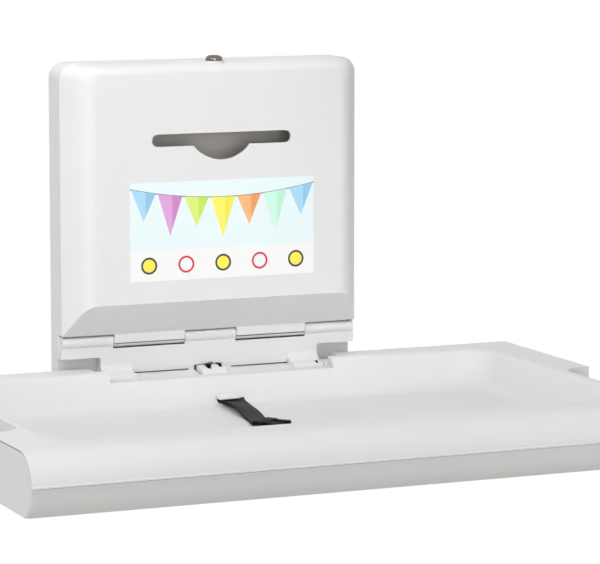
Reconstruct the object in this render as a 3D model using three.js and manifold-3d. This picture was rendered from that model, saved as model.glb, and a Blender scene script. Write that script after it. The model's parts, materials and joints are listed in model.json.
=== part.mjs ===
// Wall-mounted baby changing station: a casing with a liner dispenser and a fold-up tray.
// Millimetres. X runs along the wall, the wall is the plane y = 0 and the room is at -Y.
// Z is up, and z = 0 is the level of the open tray's rim.
import * as THREE from "three";
import { mergeVertices } from "three/addons/utils/BufferGeometryUtils.js";
import Module from "manifold-3d";

const wasm = await Module();
wasm.setup();

// Clearances
const seat = 0.3;            // between pieces that touch
const runGap = 0.6;          // between pieces that move past each other
const over = 1;              // how far a cutter reaches past what it cuts

// Sides of round pieces
const round = 24;
const roundFine = 32;
const roundSmall = 16;
const roundTiny = 12;

// Tray, open, with its rim at z = 0
const trayWidth = 860;
const trayDepth = 550;       // rear rim edge to front seam
const trayThickness = 74.5;
const shellWall = 4;
const panWall = 3.5;
const seamDrop = 38;         // rim to the seam between the shells
const seamGap = 0.6;
const seamLip = 1.5;         // top shell stands proud of the bottom shell at the seam
const noseDepth = 42;        // front rounding, along Y
const beadOut = 1.2;         // bead along the foot of the front rounding
const beadHeight = 3.2;
const stripLean = 18;        // lower front strip leans back
const endPlate = 3.6;        // end faces, part of the bottom shell
const endLip = 1.5;          // edge of the top shell around them
const endGap = 1;
const rearCorner = 14;       // rounding of the tray in plan
const frontCorner = 5;
const sharpCorner = 1;
const edgeRound = 5;

// Basin
const endRim = 50;           // width of the rim at each end
const rearRim = 39;          // width of the rim behind the basin
const frontRim = 74;         // basin edge to front seam
const lipRadius = 8;
const wallLean = 22;         // degrees from upright
const floorRadius = 25;
const basinDepth = 49;       // at the foot of the walls
const floorSag = 5;          // further at the middle
const basinCorner = 40;
const floorCorner = 62;

// Bag recesses in the ends of the rim
const recessReach = 42;
const recessRear = 243;      // behind the rear rim edge
const recessLength = 151;
const recessDepth = 14;
const recessCorner = 28;

// Casing on the wall
const panelWidth = 410;
const panelTop = 392.6;       // above the rim of the tray
const panelDrop = 74;        // below the rim of the tray
const panelCorner = 20;
const footCorner = 8;
const casingDepth = 42;
const casingWall = 6;
const casingBack = 18;       // depth of the liner compartment inside the casing
const backWall = 4.5;
const notchWidth = 53;       // corner notches beside the apron
const notchDepth = 19;
const notchTop = 13;
const notchCorner = 3;
const notchBottom = -44;
const apronStep = 2;         // apron behind the front of the casing
const apronWall = 4;
const lowerStep = 6;         // casing behind the open tray

// Hinge of the tray
const axisBehind = 16;       // in front of the tray's rear edge
const axisZ = -17;
const pinRadius = 4;
const pinInLedge = 30;
const bushWall = 2;
const lugRadius = 10.5;
const lugLength = 17;
const blockLength = 26;
const ledgeRadius = 10;
const ledgeFillet = 12;      // between the ledge and the apron
const recessEnd = 42;        // recess along the ledge, from the end of the ledge
const recessFloor = 3.5;     // below the top of the ledge
const recessFall = 5;        // floor falls towards the tray
const recessHeight = 5.2;
const recessSink = 1.2;      // back of the recess behind the face of the apron
const grooveHeight = 1.6;    // dark line at the foot of the recess
const grooveSink = 7;
const padGap = 2;            // tray to casing, filled by the stop pads
const padWidth = 24;
const padHeight = 16;
const padRise = 8;           // above the foot of the casing
const swingGap = 4;          // ledge to the tray in front of it
const edgeDrop = 13;         // rear edge of the tray is lower in the middle
const stepRound = 2.5;       // where it rises again at both ends

// Hinge of the door
const doorAxisZ = 33.6;
const doorAxisStep = 7.5;    // behind the front of the casing
const knuckleRadius = 8.5;
const knuckleShares = [0.1737, 0.6556];
const rodRadius = 2.5;
const trenchDepth = 14;

// Door
const doorDepth = 36;
const doorWall = 3;
const doorGap = 0.8;         // door to casing
const faceInset = 37;        // flat front face to the side of the casing
const faceDrop = 14.5;        // flat front face to the top of the casing
const sideRadius = 26;
const topRound = 30;         // depth of the rounding along the top
const faceCorner = 15;
const bevelHeight = 42.5;
const slotX = 2.3;
const slotHalf = 96;
const slotHeight = 16;
const slotDrop = 98.9;       // below the top of the casing
const fingerHalf = 39;
const fingerDrop = 19;
const labelX = 3.2;
const labelHalf = 127.5;
const labelHeight = 127;
const labelDrop = 215.4;
const labelThickness = 0.4;
const labelCorner = 2;

// Lock
const lockStep = 15;         // in front of the casing
const lockRadius = 9;
const collarRadius = 11;
const collarRise = 3;
const plugRadius = 6;
const keywayHalf = 0.8;
const keywayReach = 4;
const keywayDepth = 8;
const bossRadius = 12.5;
const lockGrip = 9;          // thickness of the door at the lock
const nutHeight = 4;
const camReach = 26;
const camHalf = 5;
const camThickness = 2;
const camHook = 8;
const camDrop = 24;          // below the top of the casing
const camScrewRadius = 1.5;
const keeperHalf = 7.5;
const keeperThickness = 1.6;
const keeperScrew = 1.5;
const keeperStep = 5;        // screw in front of the compartment's back

// Wall plate and liner holder
const plateInset = 20;
const plateCorner = 12;
const plateThickness = 3;
const wallHoleRadius = 4.5;
const wallHoleInset = 22;
const holderInset = 45;
const holderRise = 40;       // above the foot of the door
const holderDrop = 49;       // below the top of the casing
const holderWall = 2.4;
const holderGap = 7;         // to the inside of the door
const holderCheek = 66;
const holderLip = 15;
const screwInset = 16;
const screwRise = 84;
const screwRadius = 3;
const screwHead = 6;
const headHeight = 3;

// Gas spring and its arm
const armRadius = 36;        // tray axis to the arm's pin
const armAngle = 45;         // degrees above level with the tray open
const armHalf = 16;
const armPlate = 3.5;
const armFoot = 12;          // above the underside of the tray
const armTail = 13.2;        // tray axis to the tail of the arm's tab
const tabX = -4;
const tabRise = 12.3;        // tray axis to the top of the tab
const tabSlotHalf = 3.1;     // square opening in the top of the tab
const tabSlotDepth = 5.6;
const armPinRadius = 4;
const armBoss = 6.5;
const armScrewX = 9;
const armScrewRise = 20;
const gateHalf = 18;         // opening in apron and ledge
const gateWide = 2.5;        // further to the right in the apron
const gateTop = -2;
const gateBottom = -50;
const riserHalf = 3;
const bossHalf = 7;
const yokeHalf = 14;
const yokeGap = 1.3;         // slot above and below the pin
const yokeRise = 12.6;
const yokeDrop = 9.5;
const yokeSocket = 3;
const yokeCheek = 5;
const springClear = 0.5;     // to the wall plate, and half of that to the casing
const springLength = 124;
const springEye = 7;         // eye above the cylinder
const eyePin = 3;
const earThickness = 2;
const bracketHalf = 15;
const rodShare = 0.53;       // rod to cylinder
const rodLength = 92;

// Screws through the underside of the tray
const postRadius = 6;
const postInset = 70;
const postSpread = 40;
const shellScrew = 2;
const shellHead = 4.5;
const shellHeadDepth = 1.6;
const shellScrewReach = 22;

// Strap and buckle
const strapWidth = 34;
const strapThickness = 1.8;
const strapX = 4;
const strapZ = -43;
const strapLift = 0.9;       // webbing above the basin floor
const strapInset = 14;       // end of the webbing from the edge of the basin
const slotClear = 2;
const anchorHalfHeight = 6;
const anchorThickness = 3;
const strapRoll = 12;        // left edge lifts on its way to the buckle
const tongueX = -9;
const tongueReach = 151;     // from the rear edge of the basin
const tongueTurn = -57;
const tongueLength = 16;
const tongueHalf = 18;
const tongueHeight = 7;
const prongLength = 24;
const prongInner = 8;
const prongThin = 1.4;       // prong below the faces of the tongue
const socketReach = 162;     // from the front edge of the basin
const socketLength = 46;
const socketHalf = 21;
const socketHeight = 9;
const socketWall = 1.6;
const slitDepth = 9.5;
const slitClear = 0.5;

// Values that follow
const trayHalf = trayWidth / 2;
const panelHalf = panelWidth / 2;
const pocketBack = casingDepth - casingBack;
const notchBack = casingDepth - notchDepth;
const apronFront = casingDepth - apronStep;
const lowerFront = casingDepth - lowerStep;
const trenchBack = casingDepth - trenchDepth;
const trayRear = -lowerFront - padGap;
const trayFront = trayRear - trayDepth;
const trayBottom = -trayThickness;
const panFloor = trayBottom + panWall;
const basinHalfWidth = trayHalf - endRim;
const basinRear = trayRear - rearRim;
const basinFront = trayFront + frontRim;
const basinMiddle = (basinRear + basinFront) / 2;
const basinHalfDepth = (basinRear - basinFront) / 2;
const plateStart = trayHalf - endPlate;
const axisY = trayRear - axisBehind;
const ledgeHalf = panelHalf - notchWidth;
const ledgeTop = axisZ + ledgeRadius;
const cutY = axisY - ledgeRadius - swingGap;
const lugStart = ledgeHalf + runGap;
const cutHalf = lugStart + lugLength + seat;
const edgeHalf = ledgeHalf + armPlate;
const barrelBore = pinRadius + seat + bushWall + seat;
const doorAxisY = -casingDepth + doorAxisStep;
const knuckleEnds = [...knuckleShares.map((share) => share * panelHalf), panelHalf - over];
const rodEnd = panelHalf - casingWall + over;
const apronTop = doorAxisZ - knuckleRadius - 1.5 * runGap;
const bevelFoot = doorAxisZ + knuckleRadius + runGap;
const bevelTop = bevelFoot + bevelHeight;
const doorFront = casingDepth + doorDepth;
const doorBack = -casingDepth - doorGap;
const faceHalf = panelHalf - faceInset;
const faceTop = panelTop - faceDrop;
const slotZ = panelTop - slotDrop;
const labelZ = panelTop - labelDrop;
const lockY = -casingDepth - lockStep;
const camZ = panelTop - camDrop;
const pocketTop = panelTop - casingWall;
const keeperY = -pocketBack - keeperStep;
const plateHalf = panelHalf - plateInset;
const plateTop = panelTop - plateInset;
const plateBottom = -panelDrop + plateInset / 2;
const holderHalf = panelHalf - holderInset;
const holderBottom = bevelFoot + holderRise;
const holderTop = panelTop - holderDrop;
const holderReach = doorFront - doorWall - holderGap;
const tongueY = basinRear - tongueReach;
const socketY = basinFront + socketReach;
const springFoot = apronTop + runGap;
const springTop = springFoot + springLength;
const eyeZ = springTop + springEye;
const tabTop = axisZ + tabRise;
const cavityDepth = pocketBack - backWall;
const springRadius = (cavityDepth - plateThickness) / 2 - 1.5 * springClear;
const springY = -plateThickness - springClear - springRadius;
const eyeHalf = 0.8 * springRadius;
const rodThickness = rodShare * springRadius;
const chamberHalf = gateHalf + casingWall;
const rad = Math.PI / 180;

// Shapes

function arc(cx, cy, rx, ry, from, to, steps) {
  const points = [];
  for (let i = 0; i <= steps; i += 1) {
    const a = (from + (to - from) * i / steps) * rad;
    points.push([cx + rx * Math.cos(a), cy + ry * Math.sin(a)]);
  }
  return points;
}

function roundedRect(x0, x1, y0, y1, radii, steps = 6) {
  const [a, b, c, d] = radii;
  return [
    ...arc(x0 + a, y0 + a, a, a, 180, 270, steps),
    ...arc(x1 - b, y0 + b, b, b, 270, 360, steps),
    ...arc(x1 - c, y1 - c, c, c, 0, 90, steps),
    ...arc(x0 + d, y1 - d, d, d, 90, 180, steps),
  ];
}

// Makes a closed solid from a geometry, whichever way its faces were wound.
function solid(geometry) {
  const plain = geometry.clone();
  plain.deleteAttribute("normal");
  plain.deleteAttribute("uv");
  const merged = mergeVertices(plain, 1e-4);
  const vertProperties = Float32Array.from(merged.attributes.position.array);
  const triVerts = Uint32Array.from(merged.index.array);
  return new wasm.Manifold(new wasm.Mesh({ numProp: 3, vertProperties, triVerts }));
}

function extrude(points, depth, xAxis, yAxis, zAxis, start) {
  const shape = new THREE.Shape(points.map(([u, v]) => new THREE.Vector2(u, v)));
  const geometry = new THREE.ExtrudeGeometry(shape, { depth, bevelEnabled: false });
  const frame = new THREE.Matrix4().makeBasis(xAxis, yAxis, zAxis);
  geometry.applyMatrix4(frame.setPosition(zAxis.clone().multiplyScalar(start)));
  return solid(geometry);
}

const alongX = new THREE.Vector3(1, 0, 0);
const alongY = new THREE.Vector3(0, 1, 0);
const alongZ = new THREE.Vector3(0, 0, 1);
const towardsRoom = new THREE.Vector3(0, -1, 0);

// Outline of (y, z) points carried along X.
function prismX(points, x0, x1) {
  return extrude(points, x1 - x0, alongY, alongZ, alongX, x0);
}

// Outline of (x, z) points carried from y0 towards the room, as far as y1.
function prismY(points, y0, y1) {
  return extrude(points, y0 - y1, alongX, alongZ, towardsRoom, -y0);
}

// Outline of (x, y) points carried along Z.
function prismZ(points, z0, z1) {
  return extrude(points, z1 - z0, alongX, alongY, alongZ, z0);
}

function box(x0, x1, y0, y1, z0, z1) {
  const geometry = new THREE.BoxGeometry(x1 - x0, y1 - y0, z1 - z0);
  return solid(geometry.translate((x0 + x1) / 2, (y0 + y1) / 2, (z0 + z1) / 2));
}

function mirroredBox(x0, x1, y0, y1, z0, z1) {
  return box(x0, x1, y0, y1, z0, z1).add(box(-x1, -x0, y0, y1, z0, z1));
}

function rodX(radius, x0, x1, y, z, sides = round) {
  const geometry = new THREE.CylinderGeometry(radius, radius, x1 - x0, sides);
  return solid(geometry.rotateZ(-Math.PI / 2).translate((x0 + x1) / 2, y, z));
}

function rodY(radius, y0, y1, x, z, sides = round) {
  const geometry = new THREE.CylinderGeometry(radius, radius, y1 - y0, sides);
  return solid(geometry.translate(x, (y0 + y1) / 2, z));
}

function rodZ(radius, z0, z1, x, y, sides = round) {
  const geometry = new THREE.CylinderGeometry(radius, radius, z1 - z0, sides);
  return solid(geometry.rotateX(Math.PI / 2).translate(x, y, (z0 + z1) / 2));
}

// Ends of a span that lies from one distance to another on one side of the middle.
function alongSide(side, from, to) {
  return side > 0 ? [from, to] : [-to, -from];
}

// The same solid made for the left and for the right.
function mirrored(make) {
  return make(-1).add(make(1));
}

// Solid between rings of equally many points, closed by a fan at each end.
function loft(rings) {
  const count = rings[0].length;
  const flat = rings.flat();
  const middle = (ring) => [0, 1, 2].map((k) => ring.reduce((sum, p) => sum + p[k], 0) / count);
  const first = flat.length;
  const vertices = [...flat, middle(rings[0]), middle(rings[rings.length - 1])];
  const index = [];
  for (let i = 0; i < count; i += 1) {
    const j = (i + 1) % count;
    for (let r = 0; r + 1 < rings.length; r += 1) {
      const low = r * count;
      const high = low + count;
      index.push(low + i, low + j, high + j, low + i, high + j, high + i);
    }
    const last = (rings.length - 1) * count;
    index.push(first, j, i, first + 1, last + i, last + j);
  }
  const volume = index.reduce((sum, _, k) => {
    if (k % 3) return sum;
    const [a, b, c] = [0, 1, 2].map((n) => new THREE.Vector3(...vertices[index[k + n]]));
    return sum + a.dot(b.cross(c));
  }, 0);
  if (volume < 0) index.reverse();
  const geometry = new THREE.BufferGeometry();
  geometry.setAttribute("position", new THREE.Float32BufferAttribute(vertices.flat(), 3));
  geometry.setIndex(index);
  return solid(geometry);
}

// A turned piece about a vertical line, from (radius, z) points.
function turned(profile, x, y) {
  const points = profile.map(([r, z]) => new THREE.Vector2(r, z));
  const geometry = new THREE.LatheGeometry(points, round);
  return solid(geometry.rotateX(Math.PI / 2).translate(x, y, 0));
}

const station = new THREE.Group();

const finishes = {
  whitePlastic: { color: "#e9e8e7", roughness: 0.45, metalness: 0 },
  greyPlastic: { color: "#8d8a84", roughness: 0.6, metalness: 0 },
  zincSteel: { color: "#b4b7ba", roughness: 0.4, metalness: 1 },
  brightSteel: { color: "#d2d4d6", roughness: 0.2, metalness: 1 },
  blackSteel: { color: "#26272a", roughness: 0.45, metalness: 0.2 },
  brass: { color: "#b99a5b", roughness: 0.35, metalness: 1 },
  blackWebbing: { color: "#222224", roughness: 0.85, metalness: 0 },
  blackPlastic: { color: "#17181a", roughness: 0.35, metalness: 0 },
  rubber: { color: "#2b2b2d", roughness: 0.9, metalness: 0 },
  acetal: { color: "#d9d7d0", roughness: 0.4, metalness: 0 },
  labelFilm: { color: "#d8f0f3", roughness: 0.3, metalness: 0 },
};

function place(name, manifold, finish, parent = station) {
  const { vertProperties, triVerts } = manifold.getMesh();
  const geometry = new THREE.BufferGeometry();
  geometry.setAttribute("position", new THREE.BufferAttribute(Float32Array.from(vertProperties), 3));
  geometry.setIndex(new THREE.BufferAttribute(Uint32Array.from(triVerts), 1));
  geometry.computeVertexNormals();
  const mesh = new THREE.Mesh(geometry, new THREE.MeshStandardMaterial(finishes[finish]));
  mesh.name = name;
  parent.add(mesh);
}

const sides = [["left", -1], ["right", 1]];

// Casing

function housing() {
  const side = panelHalf - casingWall;
  const outline = roundedRect(-panelHalf, panelHalf, -panelDrop, panelTop,
    [footCorner, footCorner, panelCorner, panelCorner]);
  const pocket = roundedRect(-side, side, bevelFoot, pocketTop,
    [footCorner, footCorner, faceCorner, faceCorner]);
  const wide = panelHalf + over;
  const front = -casingDepth - over;
  let body = prismY(outline, 0, -casingDepth);
  body = body.subtract(prismY(pocket, -pocketBack, front));
  body = body.subtract(box(-wide, wide, front, -trenchBack, apronTop, bevelFoot + over));
  body = body.subtract(box(-wide, wide, front, -apronFront, -panelDrop - over, apronTop + over));
  body = body.subtract(mirrored((s) => cornerNotch(s, wide, front)));
  body = body.subtract(mirroredBox(ledgeHalf, wide, front, -lowerFront, -panelDrop - over,
    notchBottom + over));
  const [inner, middle] = knuckleEnds;
  body = body.subtract(mirrored((s) => rodX(knuckleRadius + runGap, ...alongSide(s, inner, middle),
    doorAxisY, doorAxisZ, roundFine)));
  body = body.add(hingeLedge()).subtract(ledgeRecess());
  body = body.add(casingKnuckles());
  body = body.subtract(backCavity());
  body = body.add(screwBosses());
  body = body.subtract(rodX(rodRadius + seat, -rodEnd - seat, rodEnd + seat, doorAxisY, doorAxisZ));
  body = body.subtract(armGate());
  body = body.subtract(mirrored((s) => rodX(pinRadius + seat,
    ...alongSide(s, ledgeHalf - pinInLedge, ledgeHalf + over), axisY, axisZ)));
  for (const [x, z] of screwPlaces()) {
    body = body.subtract(rodY(screwRadius + seat, -pocketBack - over, 0, x, z));
  }
  return body.subtract(keeperHole());
}

// Room beside the apron for the lugs of the tray.
function cornerNotch(side, wide, front) {
  const outline = roundedRect(ledgeHalf, wide, notchBottom, notchTop, [seat, seat, seat, notchCorner], 4);
  return prismY(outline.map(([x, z]) => [side * x, z]), -notchBack, front);
}

// Way through ledge and apron for the arm: wide for its tab, narrow for its riser.
function armGate() {
  const front = axisY - ledgeRadius - over;
  const back = -apronFront + apronWall + over;
  const [left, right] = [tabX - gateHalf, tabX + gateHalf];
  return box(left, right, front, -apronFront, axisZ - ledgeRadius - over, tabTop + runGap)
    .add(box(left, right + gateWide, -apronFront - over, back, axisZ - armTail - over, tabTop + runGap))
    .add(box(-riserHalf - runGap, riserHalf + runGap, -apronFront - over, back, gateBottom, gateTop));
}

// Fixed side of the tray hinge, running up into the apron.
function hingeLedge() {
  const barrel = arc(axisY, axisZ, ledgeRadius, ledgeRadius, 90, 270, 10);
  const back = -lowerFront + over;
  const foot = ledgeTop + ledgeFillet;
  const fillet = arc(-apronFront - ledgeFillet, foot, ledgeFillet, ledgeFillet, 360, 270, 5);
  const outline = [[back, foot], ...fillet, ...barrel, [back, axisZ - ledgeRadius]];
  return prismX(outline, -ledgeHalf, ledgeHalf);
}

// Long recess where the ledge meets the apron, with a groove along its foot.
function ledgeRecess() {
  const half = ledgeHalf - recessEnd;
  const floor = ledgeTop - recessFloor;
  const line = floor + grooveHeight;
  const top = floor + recessHeight;
  const front = axisY - ledgeRadius - over;
  const above = ledgeTop + ledgeFillet + over;
  const back = -apronFront + recessSink;
  const groove = mirroredBox(chamberHalf + casingWall, half, -apronFront - over, -apronFront + grooveSink,
    floor, line);
  return prismX([[back, floor], [back, top], [-apronFront, top], [-apronFront, above], [front, above],
    [front, floor - recessFall]], -half, half).add(groove);
}

function casingKnuckles() {
  const [inner, middle, outer] = knuckleEnds;
  const web = -trenchBack + over;
  const low = doorAxisZ - knuckleRadius;
  const high = doorAxisZ + knuckleRadius;
  const knuckle = (x0, x1) => rodX(knuckleRadius, x0, x1, doorAxisY, doorAxisZ, roundFine)
    .add(box(x0, x1, doorAxisY, web, low, high))
    .add(box(x0, x1, -apronFront, web, apronTop - over, doorAxisZ));
  return knuckle(-inner, inner).add(knuckle(middle, outer)).add(knuckle(-outer, -middle));
}

function backCavity() {
  const inner = panelHalf - 2 * shellWall;
  const floor = -panelDrop + 2 * shellWall;
  const depth = -cavityDepth;
  const chamberFront = -apronFront + apronWall;
  return box(-inner, inner, depth, over, floor, panelTop - casingWall - shellWall)
    .add(box(-chamberHalf, chamberHalf, chamberFront, depth + over, floor, apronTop - backWall / 2));
}

function screwPlaces() {
  const x = holderHalf - screwInset;
  const high = holderTop - screwInset;
  const low = holderBottom + screwRise;
  return [[-x, high], [x, high], [-x, low], [x, low]];
}

function screwBosses() {
  let all = null;
  for (const [x, z] of screwPlaces()) {
    const boss = rodY(2 * screwHead, -pocketBack + over, -plateThickness - seat, x, z);
    all = all ? all.add(boss) : boss;
  }
  return all;
}

// Wall plate, liner holder and their screws

function wallPlate() {
  const outline = roundedRect(-plateHalf, plateHalf, plateBottom, plateTop,
    [plateCorner, plateCorner, plateCorner, plateCorner], 4);
  let plate = prismY(outline, 0, -plateThickness);
  for (const [, s] of sides) {
    for (const z of [plateTop - wallHoleInset, plateBottom + wallHoleInset]) {
      const x = s * (plateHalf - wallHoleInset);
      plate = plate.subtract(rodY(wallHoleRadius, -plateThickness - over, over, x, z));
    }
  }
  for (const [x, z] of screwPlaces()) {
    plate = plate.subtract(rodY(screwRadius + seat, -plateThickness - over, over, x, z));
  }
  return plate;
}

function linerHolder() {
  const back = -pocketBack - seat;
  const face = back - holderWall;
  const front = -holderReach;
  const shelf = holderBottom + holderWall;
  let holder = box(-holderHalf, holderHalf, face, back, holderBottom, holderTop);
  holder = holder.add(box(-holderHalf, holderHalf, front, back, holderBottom, shelf));
  holder = holder.add(box(-holderHalf, holderHalf, front, front + holderWall, holderBottom,
    shelf + holderLip));
  holder = holder.add(mirroredBox(holderHalf - holderWall, holderHalf, front, back, holderBottom,
    holderBottom + holderCheek));
  for (const [x, z] of screwPlaces()) {
    holder = holder.subtract(rodY(screwRadius + seat, face - over, back + over, x, z));
  }
  return holder;
}

function housingScrew(x, z) {
  const under = -pocketBack - 2 * seat - holderWall;
  return rodY(screwHead, under - headHeight, under, x, z)
    .add(rodY(screwRadius, under - over, -seat, x, z));
}

// Door

function doorRing(y, shrink) {
  const e = doorFront + y - shrink;
  const rear = doorFront + doorBack;
  const inset = (radius, flat, full) => {
    const bend = radius - shrink;
    const run = full - flat;
    const turn = 2 * Math.atan2(rear, run) - Math.asin(Math.min(1, radius / Math.hypot(rear, run)));
    const limit = bend * (1 - Math.cos(Math.min(turn, Math.PI / 2)));
    if (e <= limit) return flat + Math.sqrt(Math.max(0, bend ** 2 - (bend - Math.max(e, 0)) ** 2));
    const from = flat + Math.sqrt(Math.max(0, bend ** 2 - (bend - limit) ** 2));
    return from + (full - shrink - from) * (e - limit) / (rear - shrink - limit);
  };
  const half = inset(sideRadius, faceHalf, panelHalf);
  const topBend = topRound - shrink;
  const rise = panelTop - faceTop - shrink;
  const top = faceTop + rise * Math.sqrt(1 - (1 - Math.min(Math.max(e, 0), topBend) / topBend) ** 2);
  const corner = faceCorner + (panelCorner - faceCorner) * Math.max(e, 0) / rear - shrink;
  const bottom = doorAxisZ - 2 * knuckleRadius;
  const outline = roundedRect(-half, half, bottom, top, [0.5, 0.5, corner, corner]);
  return outline.map(([x, z]) => [x, y, z]);
}

function bevelCut(shrink) {
  const slope = (bevelTop - bevelFoot) / (doorFront + doorBack);
  const lift = shrink * Math.hypot(1, slope);
  const at = (y) => bevelFoot + lift + (doorBack - y) * slope;
  const near = -casingDepth / 2;
  const far = -doorFront - 2 * over;
  return prismX([[near, at(near)], [far, at(far)], [far, -over], [near, -over]],
    -panelHalf - over, panelHalf + over);
}

function doorLoft(shrink, rearReach) {
  const rear = doorBack + rearReach;
  const front = -doorFront + shrink;
  const steps = [0, 0.3, 0.9, 2, 3.6, 5.8, 8.6, 12, 17];
  const rings = steps.map((e) => doorRing(front + e, shrink));
  rings.push(doorRing(doorBack, shrink));
  if (rearReach) rings.push(doorRing(doorBack, shrink).map(([x, , z]) => [x, rear, z]));
  return loft(rings).subtract(bevelCut(shrink));
}

function doorKnuckles() {
  const [inner, middle] = knuckleEnds;
  const high = bevelFoot + doorWall;
  const arm = [[doorBack, doorAxisZ], [doorAxisY, doorAxisZ], [doorAxisY, high], [doorBack, high + over]];
  const knuckle = (x0, x1) => rodX(knuckleRadius, x0, x1, doorAxisY, doorAxisZ, roundFine)
    .add(prismX(arm, x0, x1));
  return mirrored((s) => knuckle(...alongSide(s, inner + runGap, middle - runGap)));
}

function linerSlot() {
  const r = slotHeight / 2;
  const band = roundedRect(slotX - slotHalf, slotX + slotHalf, slotZ - r, slotZ + r, [r, r, r, r]);
  const sag = (fingerHalf ** 2 - fingerDrop ** 2) / (2 * fingerDrop);
  const bow = fingerDrop + sag;
  const half = Math.asin(fingerHalf / bow) / rad;
  const moon = arc(slotX, slotZ - r + sag, bow, bow, 270 - half, 270 + half, 14);
  const lid = [[slotX + fingerHalf, slotZ], [slotX - fingerHalf, slotZ]];
  const y0 = -doorFront + 2 * doorWall;
  const y1 = -doorFront - over;
  return prismY(band, y0, y1).add(prismY([...moon, ...lid], y0, y1));
}

function dispenserDoor() {
  const topWall = panelTop - lockGrip;
  let door = doorLoft(0, 0).subtract(doorLoft(doorWall, 2 * doorWall));
  door = door.add(rodZ(bossRadius, topWall, panelTop, 0, lockY));
  door = door.add(doorKnuckles());
  door = door.subtract(linerSlot());
  door = door.subtract(rodZ(lockRadius + seat, topWall - over, panelTop + over, 0, lockY));
  return door.subtract(rodX(rodRadius + seat, -panelHalf, panelHalf, doorAxisY, doorAxisZ));
}

function doorLabel() {
  const y = -doorFront - seat / 3;
  const low = labelZ - labelHeight / 2;
  const outline = roundedRect(labelX - labelHalf, labelX + labelHalf, low, low + labelHeight,
    [labelCorner, labelCorner, labelCorner, labelCorner], 3);
  return prismY(outline, y, y - labelThickness);
}

// Lock

function lockBarrel() {
  const seatZ = panelTop + seat;
  const bore = plugRadius + seat;
  const foot = camZ + camThickness + 2 * runGap;
  return turned([[bore, foot], [lockRadius, foot], [lockRadius, seatZ], [collarRadius, seatZ],
    [collarRadius, seatZ + collarRise * 0.45], [collarRadius - 1.4, seatZ + collarRise * 0.8],
    [bore + 1, seatZ + collarRise], [bore, seatZ + collarRise], [bore, foot]], 0, lockY);
}

function lockNut() {
  const top = panelTop - lockGrip - seat;
  return rodZ(bossRadius, top - nutHeight, top, 0, lockY, 6)
    .subtract(rodZ(lockRadius + seat, top - nutHeight - over, top + over, 0, lockY));
}

function lockPlug() {
  const top = panelTop + collarRise;
  const plug = rodZ(plugRadius, camZ + camThickness + seat, top, 0, lockY);
  return plug.subtract(box(-keywayHalf, keywayHalf, lockY - keywayReach, lockY + keywayReach,
    top - keywayDepth, top + over));
}

function lockCam() {
  const top = camZ + camThickness;
  const tip = camReach - camThickness;
  const arm = box(-plugRadius, camReach, lockY - camHalf, lockY + camHalf, camZ, top);
  const hook = box(tip, camReach, lockY - camHalf, lockY + camHalf, camZ, top + camHook);
  return arm.add(hook).subtract(rodZ(camScrewRadius + seat, camZ - over, top + over, 0, lockY));
}

function camScrew() {
  const head = camZ - seat;
  return rodZ(2 * camScrewRadius, head - camThickness, head, 0, lockY)
    .add(rodZ(camScrewRadius, head - over, camZ + camThickness, 0, lockY));
}

function keeperHole() {
  const low = pocketTop - 3 * keeperThickness;
  return rodZ(keeperScrew + seat, low, panelTop - 2 * over, 0, keeperY, roundTiny);
}

function lockKeeper() {
  const top = pocketTop - seat;
  const under = top - keeperThickness;
  const lip = lockY + camReach - camThickness - keeperThickness - 2 * runGap;
  return box(-keeperHalf, keeperHalf, lip, -pocketBack - seat, under, top)
    .add(box(-keeperHalf, keeperHalf, lip, lip + keeperThickness, camZ + camHook - over, top))
    .subtract(keeperHole());
}

function keeperScrewPiece() {
  const head = pocketTop - 2 * seat - keeperThickness;
  return rodZ(2 * keeperScrew, head - keeperThickness, head, 0, keeperY, roundSmall)
    .add(rodZ(keeperScrew, head - over, panelTop - 2 * over - seat, 0, keeperY, roundTiny));
}

// Tray

// Side view of the top shell's block, drawn in by a wall's thickness.
function blockProfile(shrink, foot) {
  const nose = arc(trayFront + noseDepth, -seamDrop, noseDepth - beadOut - shrink, seamDrop - shrink,
    90, 180, 12);
  const rear = trayRear - shrink;
  const edge = Math.max(edgeRound - shrink, over);
  return [...nose, [trayFront + beadOut + shrink, foot], [rear, foot],
    ...arc(rear - edge, -shrink - edge, edge, edge, 0, 90, 4)];
}

// Section of the basin: how far in from the rim's edge, and how deep.
function basinSection(grow) {
  const lean = wallLean * rad;
  const section = [];
  const lipEnd = 90 - wallLean;
  if (!grow) {
    section.push([0, over]);
    for (let i = 0; i <= 4; i += 1) {
      const a = lipEnd * i / 4 * rad;
      section.push([lipRadius * Math.sin(a), -lipRadius + lipRadius * Math.cos(a)]);
    }
  } else {
    section.push([-grow * Math.cos(lean), -shellWall / 2]);
  }
  const wallTop = [lipRadius * Math.cos(lean), -lipRadius + lipRadius * Math.sin(lean)];
  const arcTop = -basinDepth + floorRadius - floorRadius * Math.sin(lean);
  const centre = wallTop[0] + (wallTop[1] - arcTop) * Math.tan(lean) + floorRadius * Math.cos(lean);
  const bend = floorRadius + grow;
  for (const [u, v] of arc(centre, -basinDepth + floorRadius, bend, bend, 180 + wallLean, 270, 5)) {
    section.push([u, v]);
  }
  for (const share of [0.25, 0.55, 0.9]) {
    const u = centre + (basinHalfDepth - centre) * share;
    section.push([u, floorLevel(u, centre) - grow]);
  }
  return section;
}

function floorLevel(inset, centre) {
  const share = Math.min(1, Math.max(0, (inset - centre) / (basinHalfDepth - centre)));
  return -basinDepth - floorSag * (1 - (1 - share) ** 2);
}

// Level of the basin floor on the middle line.
function floorAt(y) {
  const centre = basinSection(0)[11][0];
  return floorLevel(basinHalfDepth - Math.abs(y - basinMiddle), centre);
}

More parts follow.
